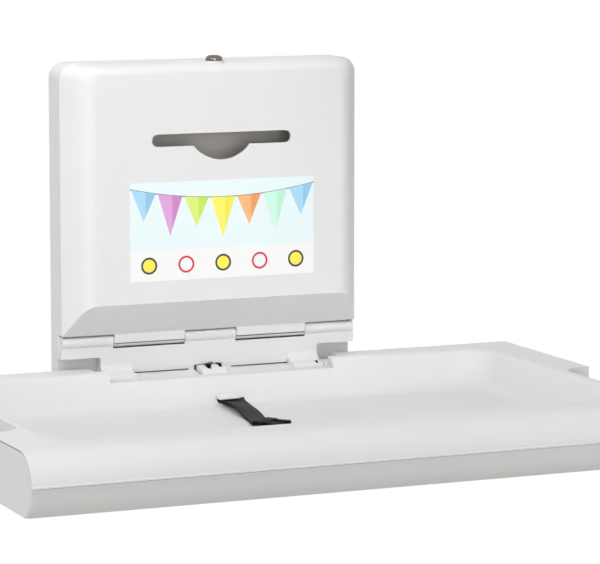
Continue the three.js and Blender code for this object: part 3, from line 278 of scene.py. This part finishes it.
grainDepth = 0.2      # mm
grainLooks = {      # mm, slot -> name and look
    "grey_plastic": ("moulded ABS, grey", {      # warm pale grey, dull, finely pebbled
        "tones": ("#d6d2ca", "#dbd8d1"), "cloud": 40, "grain": 1.2, "relief": 0.1, "gloss": (0.5, 0.65)}),
    "polished_steel": ("turned and chromed steel", {      # mirror-like, with turning marks across
        "tones": ("#716b65", "#827c75"), "cloud": 3, "grain": 0.8, "relief": 0.03, "gloss": (0.1, 0.18),
        "metallic": 1.0, "stretch": (0.15, 0.15, 1)}),
    "painted_steel": ("powder-coated steel, black", {      # satin black with orange peel
        "tones": ("#1b1b1d", "#232325"), "cloud": 30, "grain": 2.2, "relief": 0.15, "gloss": (0.38, 0.5)}),
    "lock_brass": ("machined brass", {      # yellow metal with fine cutter marks
        "tones": ("#b59356", "#c9ab70"), "cloud": 4, "grain": 0.7, "relief": 0.05, "gloss": (0.25, 0.38),
        "metallic": 1.0, "stretch": (0.2, 0.2, 1)}),
    "black_acetal": ("moulded acetal, black", {      # near-black, half gloss, spark-eroded grain
        "tones": ("#0b0b0c", "#121213"), "cloud": 18, "grain": 0.9, "relief": 0.08, "gloss": (0.5, 0.62),
        "specular": 0.1}),
    "natural_acetal": ("turned acetal, natural", {      # milky, waxy
        "tones": ("#dad8d0", "#e2e0d9"), "cloud": 12, "grain": 0.8, "relief": 0.05, "gloss": (0.32, 0.44),
        "stretch": (0.3, 1, 1)}),
    "rubber": ("moulded rubber, black", {      # dull, slightly dusty
        "tones": ("#202021", "#2c2c2c"), "cloud": 9, "grain": 1.0, "relief": 0.2, "gloss": (0.75, 0.9)}),
}

# zinc plate: bright grey with a patchwork of crystals, each with its own shine
zincLook = {"crystal": 7, "tones": ("#a3a7ab", "#c6c9cc"), "gloss": (0.32, 0.5)}      # mm


def zincPlate(look):
    material, tree, shader = newMaterial("zinc-plated steel sheet", {"Metallic": 1.0})
    place = addNode(tree, "TexCoord")
    crystal = addNode(tree, "TexVoronoi", None, {"Scale": 1 / (look["crystal"] * mm)},
                      {"Vector": (place, "Object")})
    tone = addNode(tree, "ValToRGB", None, None, {"Fac": (crystal, "Color")})
    for stop, colour in zip(tone.color_ramp.elements, look["tones"]):
        stop.color = linear(colour)
    gloss = addNode(tree, "MapRange", None, {"To Min": look["gloss"][0], "To Max": look["gloss"][1]},
                    {"Value": (crystal, "Color")})
    feedShader(tree, shader, {"Base Color": tone, "Roughness": gloss})
    return material


# nylon webbing: charcoal, with rows of short raised yarns that catch a little light
# and a darker, tight selvedge
webbingLook = {      # mm
    "width": 34, "yarns": ("#343231", "#282726"), "gap": "#0f0e0e", "specular": 0.2,
    "repeat": 4.4,      # real yarns are about 1 mm wide; drawn twice as coarse so that they show
    "yarnLength": 0.5, "yarnWidth": 0.4, "yarnGap": 0.05,      # shares of the repeat
    "relief": 0.5, "depth": 0.3, "gloss": (0.55, 0.9),
    "selvedge": "#121112", "selvedgeFrom": 14.2, "selvedgeTo": 16,      # from the middle
}


def wovenNylon(look):
    material, tree, shader = newMaterial("woven nylon webbing, black", {
        "Specular IOR Level": look["specular"]})
    place = addNode(tree, "UVMap")      # u across, v along, in metres
    yarn = addNode(tree, "TexBrick", {"offset": 0.5}, {
        "Color1": linear(look["yarns"][0]), "Color2": linear(look["yarns"][1]), "Mortar": linear(look["gap"]),
        "Scale": 1 / (look["repeat"] * mm), "Mortar Size": look["yarnGap"], "Mortar Smooth": 1.0,
        "Brick Width": look["yarnLength"], "Row Height": look["yarnWidth"],
    }, {"Vector": (place, 0)})
    bump = addNode(tree, "Bump", {"invert": True},
                   {"Strength": look["relief"], "Distance": look["depth"] * mm},
                   {"Height": (yarn, "Fac")})
    gloss = addNode(tree, "MapRange", None, {"To Min": look["gloss"][0], "To Max": look["gloss"][1]},
                    {"Value": (yarn, "Fac")})
    split = addNode(tree, "SeparateXYZ", None, None, {0: (place, 0)})
    offset = addNode(tree, "Math", {"operation": "SUBTRACT"}, {1: look["width"] / 2 * mm}, {0: (split, "X")})
    fromMiddle = addNode(tree, "Math", {"operation": "ABSOLUTE"}, None, {0: (offset, 0)})
    selvedge = addNode(tree, "MapRange", None,
                       {"From Min": look["selvedgeFrom"] * mm, "From Max": look["selvedgeTo"] * mm},
                       {"Value": (fromMiddle, 0)})
    tone = addNode(tree, "MixRGB", None, {"Color2": linear(look["selvedge"])},
                   {"Fac": (selvedge, 0), "Color1": (yarn, "Color")})
    feedShader(tree, shader, {"Base Color": tone, "Normal": bump, "Roughness": gloss})
    return material


# laminated print: pale sky with a string of pastel pennants, above a white band with a row of discs and rings
labelLook = {      # mm
    "width": 255, "coat": 0.2, "coatRoughness": 0.15, "gloss": (0.28, 0.36),
    "sky": ("#e0eeef", "#e5f1f2"), "fibre": 2, "band": 40, "bandColour": "#efefef",
    "pennants": 7, "short": 38, "long": 52,
    "halfWidth": 0.46, "foldFrom": 0.58,      # shares of a pennant's room
    "foldDepth": 0.55, "foldGamma": 1.9,      # how much of the darker dye the far half takes, and how dark it is
    "dyes": ["#a5d3ec", "#d79fd3", "#d3ea72", "#f2ec66", "#efb27a", "#c9f1de", "#a5d3ec"],
    "stringLow": 105, "stringHigh": 119, "cord": 0.7, "cordColour": "#6b6a66",
    "spotPitch": 51, "spotHeight": 20, "disc": 11, "heart": 0.76,      # heart is a share of the disc
    "rims": ("#2f2d22", "#c9252b"), "hearts": ("#f4e552", "#efefef"),
}


# the cord hangs in a bow between the label's upper corners
def stringHeight(tree, split, look):
    across = addNode(tree, "MapRange", None, {"From Max": look["width"] * mm, "To Min": -1.0},
                     {"Value": (split, "X")})
    bow = addNode(tree, "Math", {"operation": "MULTIPLY"}, None, {0: (across, 0), 1: (across, 0)})
    return addNode(tree, "MapRange", None,
                   {"To Min": look["stringLow"] * mm, "To Max": look["stringHigh"] * mm}, {"Value": (bow, 0)})


# pennants in turn short and long: where they are, and their colours with one half in the shade
def pennantRow(tree, split, string, look):
    count = look["pennants"]
    cell = addNode(tree, "Math", {"operation": "DIVIDE"}, {1: look["width"] / count * mm}, {0: (split, "X")})
    index = addNode(tree, "Math", {"operation": "FLOOR"}, None, {0: (cell, 0)})
    part = addNode(tree, "Math", {"operation": "FRACT"}, None, {0: (cell, 0)})
    offset = addNode(tree, "Math", {"operation": "SUBTRACT"}, {1: 0.5}, {0: (part, 0)})
    fromMiddle = addNode(tree, "Math", {"operation": "ABSOLUTE"}, None, {0: (offset, 0)})
    odd = addNode(tree, "Math", {"operation": "MODULO"}, {1: 2.0}, {0: (index, 0)})
    length = addNode(tree, "MapRange", None, {"To Min": look["short"] * mm, "To Max": look["long"] * mm},
                     {"Value": (odd, 0)})
    drop = addNode(tree, "Math", {"operation": "SUBTRACT"}, None, {0: (string, 0), 1: (split, "Y")})
    share = addNode(tree, "Math", {"operation": "DIVIDE"}, None, {0: (drop, 0), 1: (length, 0)})
    room = addNode(tree, "MapRange", {"clamp": False}, {"To Min": look["halfWidth"], "To Max": 0.0},
                   {"Value": (share, 0)})
    within = addNode(tree, "Math", {"operation": "LESS_THAN"}, None, {0: (fromMiddle, 0), 1: (room, 0)})
    below = addNode(tree, "Math", {"operation": "GREATER_THAN"}, {1: 0.0}, {0: (share, 0)})
    pennant = addNode(tree, "Math", {"operation": "MULTIPLY"}, None, {0: (within, 0), 1: (below, 0)})

    pick = addNode(tree, "Math", {"operation": "MULTIPLY_ADD"}, {1: 1 / count, 2: 0.5 / count},
                   {0: (index, 0)})
    dye = addNode(tree, "ValToRGB", None, None, {"Fac": (pick, 0)})
    ramp = dye.color_ramp
    ramp.interpolation = "CONSTANT"
    for i, colour in enumerate(look["dyes"]):
        stop = ramp.elements[i] if i < 2 else ramp.elements.new(i / count)
        stop.position = i / count
        stop.color = linear(colour)
    turned = addNode(tree, "Math", {"operation": "GREATER_THAN"}, {1: look["foldFrom"]}, {0: (part, 0)})
    fold = addNode(tree, "Math", {"operation": "MULTIPLY"}, {1: look["foldDepth"]}, {0: (turned, 0)})
    deep = addNode(tree, "Gamma", None, {"Gamma": look["foldGamma"]}, {"Color": (dye, "Color")})
    flag = addNode(tree, "MixRGB", None, None,
                   {"Fac": (fold, 0), "Color1": (dye, "Color"), "Color2": (deep, 0)})
    return pennant, flag


# filled discs and open rings in turn: where they are, and their colours
def discRow(tree, split, look):
    half = look["spotPitch"] / 2 * mm
    spot = addNode(tree, "Math", {"operation": "DIVIDE"}, {1: look["spotPitch"] * mm}, {0: (split, "X")})
    index = addNode(tree, "Math", {"operation": "FLOOR"}, None, {0: (spot, 0)})
    odd = addNode(tree, "Math", {"operation": "MODULO"}, {1: 2.0}, {0: (index, 0)})
    part = addNode(tree, "Math", {"operation": "FRACT"}, None, {0: (spot, 0)})
    across = addNode(tree, "MapRange", None, {"To Min": -half, "To Max": half}, {"Value": (part, 0)})
    above = addNode(tree, "Math", {"operation": "SUBTRACT"}, {1: look["spotHeight"] * mm}, {0: (split, "Y")})
    offset = addNode(tree, "CombineXYZ", None, None, {"X": (across, 0), "Y": (above, 0)})
    radius = addNode(tree, "VectorMath", {"operation": "LENGTH"}, None, {0: (offset, 0)})
    disc = addNode(tree, "Math", {"operation": "LESS_THAN"}, {1: look["disc"] * mm}, {0: (radius, "Value")})
    inner = addNode(tree, "Math", {"operation": "LESS_THAN"}, {1: look["heart"] * look["disc"] * mm},
                    {0: (radius, "Value")})
    rim, heart = [addNode(tree, "MixRGB", None, {"Color1": linear(even), "Color2": linear(uneven)},
                          {"Fac": (odd, 0)}) for even, uneven in (look["rims"], look["hearts"])]
    dye = addNode(tree, "MixRGB", None, None, {"Fac": (inner, 0), "Color1": (rim, 0), "Color2": (heart, 0)})
    return disc, dye


def printedLabel(look):
    material, tree, shader = newMaterial("laminated print", {
        "Coat Weight": look["coat"], "Coat Roughness": look["coatRoughness"]})
    place = addNode(tree, "UVMap")      # metres from the lower left corner
    split = addNode(tree, "SeparateXYZ", None, None, {0: (place, 0)})
    string = stringHeight(tree, split, look)
    cord = addNode(tree, "Math", {"operation": "COMPARE"}, {2: look["cord"] * mm},
                   {0: (split, "Y"), 1: (string, 0)})
    pennant, flag = pennantRow(tree, split, string, look)
    disc, dye = discRow(tree, split, look)

    band = addNode(tree, "Math", {"operation": "LESS_THAN"}, {1: look["band"] * mm}, {0: (split, "Y")})
    fibre = addNode(tree, "TexNoise", None, {"Scale": 1 / (look["fibre"] * mm)}, {"Vector": (place, 0)})
    sky = addNode(tree, "MixRGB", None,
                  {"Color1": linear(look["sky"][0]), "Color2": linear(look["sky"][1])},
                  {"Fac": (fibre, "Fac")})
    ground = addNode(tree, "MixRGB", None, {"Color2": linear(look["bandColour"])},
                     {"Fac": (band, 0), "Color1": (sky, 0)})
    withCord = addNode(tree, "MixRGB", None, {"Color2": linear(look["cordColour"])},
                       {"Fac": (cord, 0), "Color1": (ground, 0)})
    withFlags = addNode(tree, "MixRGB", None, None,
                        {"Fac": (pennant, 0), "Color1": (withCord, 0), "Color2": (flag, 0)})
    withDiscs = addNode(tree, "MixRGB", None, None,
                        {"Fac": (disc, 0), "Color1": (withFlags, 0), "Color2": (dye, 0)})
    gloss = addNode(tree, "MapRange", None, {"To Min": look["gloss"][0], "To Max": look["gloss"][1]},
                    {"Value": (fibre, "Fac")})
    feedShader(tree, shader, {"Base Color": withDiscs, "Roughness": gloss})
    return material


# tray plastic with painted shade in its wide recesses
trayPlastic = mouldedPolyethylene("rotomoulded polyethylene, white, painted_shade_in_recesses", trayPlasticLook)
slotMaterials = {slot: grainedMaterial(name, look) for slot, (name, look) in grainLooks.items()}
slotMaterials["white_polyethylene"] = mouldedPolyethylene("rotomoulded polyethylene, white", plasticLook)
slotMaterials["zinc_steel"] = zincPlate(zincLook)
slotMaterials["nylon_webbing"] = wovenNylon(webbingLook)
slotMaterials["printed_film"] = printedLabel(labelLook)
for subpart in frame["record"]["subparts"]:
    data = nodes[subpart["node"]].data
    data.materials.clear()
    data.materials.append(slotMaterials[subpart["material_slot"]])
print("materials on")


def bodyOf(node):
    return next(name for name, members in frame["record"]["behaviour"]["bodies"].items() if node in members)


def addPiece(name, mesh):
    piece = bpy.data.objects.new(name, mesh)
    scene.collection.objects.link(piece)
    return piece


def placePiece(piece, node):
    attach(piece, bodyOf(node))
    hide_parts(node)


roundingRules = {      # lengths in m
    "weld": 1e-6, "weldSoft": 1e-5,
    "coplanar": math.radians(0.5),      # faces that turn less than this are one
    "sharp": math.radians(32),      # edges that turn more than this are rounded
    "narrowShare": 0.4,      # how much of a narrow face a rounding may take
    "leastShare": 0.05,      # of the full rounding; an edge that can take less stays sharp
    "bowFacing": 0.999, "bowArea": 1e-3, "bowLevel": 1e-4, "bowCuts": 7,
    "softFacing": 0.93, "softSteps": 6,
    "flatFacing": 0.9999,
}


def isSharp(line):
    return len(line.link_faces) == 2 and line.calc_face_angle(0) > roundingRules["sharp"]


# how much of the full rounding an edge can take: less where a face beside it is narrow
def roundingShare(line, edge):
    if not isSharp(line):
        return 0.0
    start = line.verts[0].co
    along = (line.verts[1].co - start).normalized()
    reach = [max((v.co - start).cross(along).length for v in face.verts) for face in line.link_faces]
    taken = min(1.0, roundingRules["narrowShare"] * min(reach) / (edge * mm))
    return taken if taken > roundingRules["leastShare"] else 0.0


# large flat faces with this normal swell by a rise in mm, as a moulded wall does
def bowFaces(work, normal, rise):
    faces = [face for face in work.faces if face.normal.dot(normal) > roundingRules["bowFacing"]
             and face.calc_area() > roundingRules["bowArea"]]
    sides = {line for face in faces for line in face.edges
             if abs(line.verts[0].co.x - line.verts[1].co.x) < roundingRules["bowLevel"]}
    made = bmesh.ops.subdivide_edges(work, edges=list(sides), cuts=roundingRules["bowCuts"],
                                       use_grid_fill=True)
    down = normal.cross(Vector((1, 0, 0)))
    heights = [v.co.dot(down) for line in sides if line.is_valid for v in line.verts]
    heights += [v.co.dot(down) for face in faces if face.is_valid for v in face.verts]
    low, high = min(heights), max(heights)
    for vert in {v for v in made["geom_inner"] if isinstance(v, bmesh.types.BMVert)}:
        t = 2 * (vert.co.dot(down) - low) / (high - low) - 1
        vert.co += normal * rise * mm * (1 - t * t)


# a larger rounding for the sharp edges in a box, in mm, that border a face with this normal
def softenEdges(work, soft):
    normal = Vector(soft["normal"])
    lines = []
    for line in work.edges:
        middle = (line.verts[0].co + line.verts[1].co) / 2 / mm
        inside = all(low <= value <= high for low, value, high in zip(soft["low"], middle, soft["high"]))
        if inside and isSharp(line) and any(
                face.normal.dot(normal) > roundingRules["softFacing"] for face in line.link_faces):
            lines.append(line)
    bmesh.ops.bevel(work, geom=lines, offset=soft["edge"] * mm, segments=roundingRules["softSteps"],
                    profile=0.5, affect="EDGES", clamp_overlap=soft.get("clamp", True))
    work.normal_update()


# what lies above a height is drawn out or pressed flat from a base, in mm
def stretchUp(work, stretch):
    base = stretch["base"] * mm
    for vert in work.verts:
        if vert.co.z > stretch["above"] * mm:
            vert.co.z = base + (vert.co.z - base) * stretch["factor"]


# the CAD mesh with joined flats, swells and soft edges, and a rounding noted on each edge
def roundedMesh(node, look):
    mesh = nodes[node].data.copy()
    mesh.name = node + "_rounded"
    work = bmesh.new()
    work.from_mesh(mesh)
    bmesh.ops.remove_doubles(work, verts=work.verts, dist=roundingRules["weld"])
    bmesh.ops.dissolve_limit(work, angle_limit=roundingRules["coplanar"], verts=work.verts, edges=work.edges)
    if "bow" in look:
        bowFaces(work, Vector(look["bow"]["normal"]).normalized(), look["bow"]["rise"])
    bmesh.ops.connect_verts_concave(work, faces=work.faces[:])      # ring-shaped faces fill wrongly otherwise
    work.normal_update()
    for soft in look.get("soft", []):
        softenEdges(work, soft)
    bmesh.ops.remove_doubles(work, verts=work.verts, dist=roundingRules["weldSoft"])
    weight = work.edges.layers.float.new("bevel_weight_edge")
    for line in work.edges:
        line[weight] = roundingShare(line, look["edge"])
    if "stretch" in look:
        stretchUp(work, look["stretch"])
    work.to_mesh(mesh)
    work.free()
    return mesh


# a copy of the CAD piece with its edges rounded as the mould or the cutter leaves them
def roundedPiece(node, look):
    mesh = roundedMesh(node, look)
    flat = [Vector(axis) for axis in look.get("flat", [])]      # faces square to these axes are shaded flat
    for polygon in mesh.polygons:
        polygon.use_smooth = all(abs(polygon.normal.dot(axis)) < roundingRules["flatFacing"] for axis in flat)
    if "material" in look:
        mesh.materials.clear()
        mesh.materials.append(look["material"])
    piece = addPiece(node + "_rounded", mesh)
    bevel = piece.modifiers.new("edges", "BEVEL")
    bevel.width = look["edge"] * mm
    bevel.segments = look.get("steps", 3)
    bevel.limit_method = "WEIGHT"
    bevel.miter_outer = "MITER_ARC"
    normals = piece.modifiers.new("normals", "WEIGHTED_NORMAL")
    normals.keep_sharp = False
    placePiece(piece, node)


frontSlope = (0, -0.89, -0.45)      # the way the strip below the tray's front seam faces
frontCorners = [
    {"edge": 4.5, "clamp": False, "normal": frontSlope,
     "low": (low, -620, -74), "high": (low + 10, -500, -47)}
    for low in (-435, 425)
]
doorSlope = {      # below the door's front
    "edge": 2.6, "normal": (0, -0.77, -0.64), "low": (-220, -80, 20), "high": (220, -30, 120),
}
roundings = {      # mm
    "rear_housing": {"edge": 1.6, "steps": 5},
    "dispenser_door": {"edge": 1.2, "steps": 5, "soft": [doorSlope]},
    "tray_top_shell": {"edge": 2.2, "material": trayPlastic},
    "tray_bottom_shell": {"edge": 2.0, "flat": [(1, 0, 0), (0, 0, 1)], "soft": frontCorners,
                          "bow": {"normal": frontSlope, "rise": 1.7}},
    "hinge_block_left": {"edge": 1.0},
    "hinge_block_right": {"edge": 1.0},
    "damper_arm": {"edge": 0.8},
    "lock_barrel": {"edge": 1.4, "steps": 5, "stretch": {"above": 393.5, "base": 392.7, "factor": 2.1}},
    "lock_plug": {"edge": 0.5},
    "buckle_tongue": {"edge": 0.8, "stretch": {"above": -99, "base": -48.9, "factor": 0.66}},
    "buckle_socket": {"edge": 0.8},
    "buckle_prong_left": {"edge": 0.5},
    "buckle_prong_right": {"edge": 0.5},
    "wall_plate": {"edge": 0.4},
}
for node, look in roundings.items():
    roundedPiece(node, look)
print("moulded pieces made")


# the label: the CAD film with the print laid over it
def labelPiece(node):
    mesh = nodes[node].data.copy()
    mesh.name = node + "_print"
    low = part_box(node)[0]
    layer = mesh.uv_layers.active or mesh.uv_layers.new(name="print")
    for corner in mesh.loops:
        point = mesh.vertices[corner.vertex_index].co
        layer.data[corner.index].uv = (point.x - low.x, point.z - low.z)
    placePiece(addPiece(node + "_print", mesh), node)


labelPiece("door_label")
print("label made")


# a point on the smooth curve through four neighbours
def through(a, b, c, d, t):
    return 0.5 * (2 * b + (c - a) * t + (2 * a - 5 * b + 4 * c - d) * t * t
                  + (3 * b - a - 3 * c + d) * t ** 3)


def smoothRows(rows, steps):
    padded = [rows[0]] + rows + [rows[-1]]
    smooth = []
    for i in range(len(rows) - 1):
        for k in range(steps):
            smooth.append([through(*(padded[i + j][side] for j in range(4)), k / steps) for side in (0, 1)])
    return smooth + [rows[-1]]


# one section of a strap, all the way round: its upper face from left to right and its under face back
def strapSection(rows, i, look):
    left, right = rows[i]
    before = rows[max(i - 1, 0)]
    after = rows[min(i + 1, len(rows) - 1)]
    along = (after[0] + after[1] - before[0] - before[1]).normalized()
    up = (right - left).cross(along).normalized()
    width = (right - left).length
    shares = [k / look["across"] for k in range(look["across"] + 1)]
    thin, taper = look["edgeThin"], look["edgeTaper"]
    halves = [look["thickness"] / 2 * min(1, thin + min(s, 1 - s) * width / taper) for s in shares]
    top = [left.lerp(right, s) + up * half for s, half in zip(shares, halves)]
    under = [left.lerp(right, s) - up * half for s, half in zip(shares, halves)]
    return top + under[::-1], shares + shares[::-1]


def smoothMesh(work, name, slot):
    mesh = bpy.data.meshes.new(name)
    work.to_mesh(mesh)
    work.free()
    for polygon in mesh.polygons:
        polygon.use_smooth = True
    mesh.materials.append(slotMaterials[slot])
    return mesh


# a strap through rows of (left edge, right edge) in mm, with u, v in metres for the weave
def strapPiece(node, look):
    rows = smoothRows([[Vector(left), Vector(right)] for left, right in look["rows"]], look["steps"])
    work = bmesh.new()
    layer = work.loops.layers.uv.new("weave")
    rings, places, run = [], [], 0.0
    for i, (left, right) in enumerate(rows):
        if i:
            run += ((left + right) / 2 - (rows[i - 1][0] + rows[i - 1][1]) / 2).length
        points, shares = strapSection(rows, i, look)
        rings.append([work.verts.new(point * mm) for point in points])
        places.append([(s * look["width"] * mm, run * mm) for s in shares])
    count = len(rings[0])
    for i in range(len(rings) - 1):
        for k in range(count):
            n = (k + 1) % count
            face = work.faces.new((rings[i][k], rings[i][n], rings[i + 1][n], rings[i + 1][k]))
            uvs = (places[i][k], places[i][n], places[i + 1][n], places[i + 1][k])
            for corner, uv in zip(face.loops, uvs):
                corner[layer].uv = uv
    work.faces.new(rings[0][::-1])
    work.faces.new(rings[-1])
    bmesh.ops.recalc_face_normals(work, faces=work.faces[:])
    piece = addPiece(node + "_woven", smoothMesh(work, node + "_woven", "nylon_webbing"))
    placePiece(piece, node)
    print(node, "is", round(run), "mm long")


strapLook = {      # mm
    "width": webbingLook["width"], "thickness": 1.8, "across": 12, "steps": 5,
    "edgeThin": 0.35, "edgeTaper": 2.5,      # thickness at the edges as a share, and the way to one share more
}
rearStrap = {      # comes out of the rear wall, twists and runs into the tongue
    **strapLook, "restsOn": ["tray_top_shell", "buckle_tongue"],
    "rows": [
        ((-13, -91, -43), (21, -91, -43)), ((-13, -108.2, -42.95), (21, -106.7, -43.3)),
        ((-12.85, -124, -41.5), (20.85, -122.1, -45.4)), ((-12.96, -133.1, -40.5), (20.44, -131.1, -46.5)),
        ((-13.2, -143.3, -40.2), (19.9, -140.6, -47.3)), ((-13.7, -153.7, -41.45), (19.35, -148.9, -47.8)),
        ((-14.25, -163.7, -43.5), (18.6, -156.4, -48.3)), ((-14.65, -174.1, -45.75), (17.7, -164.1, -48.9)),
        ((-15.06, -184.2, -47.95), (16.56, -171.8, -49.5)), ((-16.25, -203, -50.3), (13.85, -187.2, -50.6)),
        ((-19.4, -220.3, -50.65), (9.73, -202.8, -50.65)), ((-23.8, -236.4, -48.87), (4.7, -217.9, -48.87)),
        ((-18.9, -243.97, -48.87), (9.61, -225.45, -48.87)),
    ],
}
frontStrap = {      # lies on the floor behind the front wall and runs into the socket
    **strapLook, "restsOn": ["tray_top_shell", "buckle_socket"],
    "rows": [((-13, y, z), (21, y, z)) for y, z in (
        (-500, -43), (-477.56, -43), (-463.3, -43.5), (-449, -45.7), (-436.8, -48.7), (-418.4, -49.1),
        (-400, -46.9), (-390, -46.9))],
}
strapPiece("strap_rear", rearStrap)
strapPiece("strap_front", frontStrap)


# a bar along x with this outline in y and z, its edges rounded
def barPiece(name, look):
    work = bmesh.new()
    ends = [[work.verts.new(Vector((x, y, z)) * mm) for y, z in look["outline"]] for x in look["ends"]]
    work.faces.new(ends[0])
    work.faces.new(ends[1][::-1])
    for i in range(len(ends[0])):
        work.faces.new((ends[0][i - 1], ends[0][i], ends[1][i], ends[1][i - 1]))
    bmesh.ops.recalc_face_normals(work, faces=work.faces[:])
    bmesh.ops.bevel(work, geom=work.edges[:], offset=look["edge"] * mm, segments=barSteps, profile=0.5,
                    affect="EDGES")
    piece = addPiece(name, smoothMesh(work, name, look["slot"]))
    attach(piece, look["body"])


barSteps = 4
bars = {      # mm
    "strap_slot_hood": {      # moulded brow over the strap's way out of the rear wall
        "ends": (-15.5, 13), "edge": 1.2, "body": "tray", "slot": "white_polyethylene",
        "outline": [(-96, -34.5), (-106, -35.4), (-112, -37.0), (-114.2, -38.8), (-113, -40.4), (-104, -40.6),
                    (-96, -39)]},
    "tab_opening_painted_shade": {      # black acetal insert in the opening of the damper arm's tab, painted shade standing in for the dark hole
        "ends": (-9.0, -2.4), "edge": 0.4, "body": "tray", "slot": "black_acetal",
        "outline": [(-38.5, -3.6), (-49.8, -3.2), (-49.8, -10), (-38.5, -10)]},
    "tab_end_painted_shade": {      # black acetal insert at the end of the tab, painted shade standing in for the dark gap
        "ends": (7.8, 11.2), "edge": 0.4, "body": "tray", "slot": "black_acetal",
        "outline": [(-38.5, -3.2), (-49.8, -2.8), (-54.5, -7.4), (-49.8, -10), (-38.5, -10)]},
    "ledge_stop_pad": {      # black end of a bump stop at the right lug
        "ends": (142.4, 145.6), "edge": 0.4, "body": "casing", "slot": "rubber",
        "outline": [(-55.5, -9.5), (-55.5, -6.4), (-59.0, -7.2), (-60.5, -9.5)]},
}
for name, look in bars.items():
    barPiece(name, look)
print("hood and pads made")
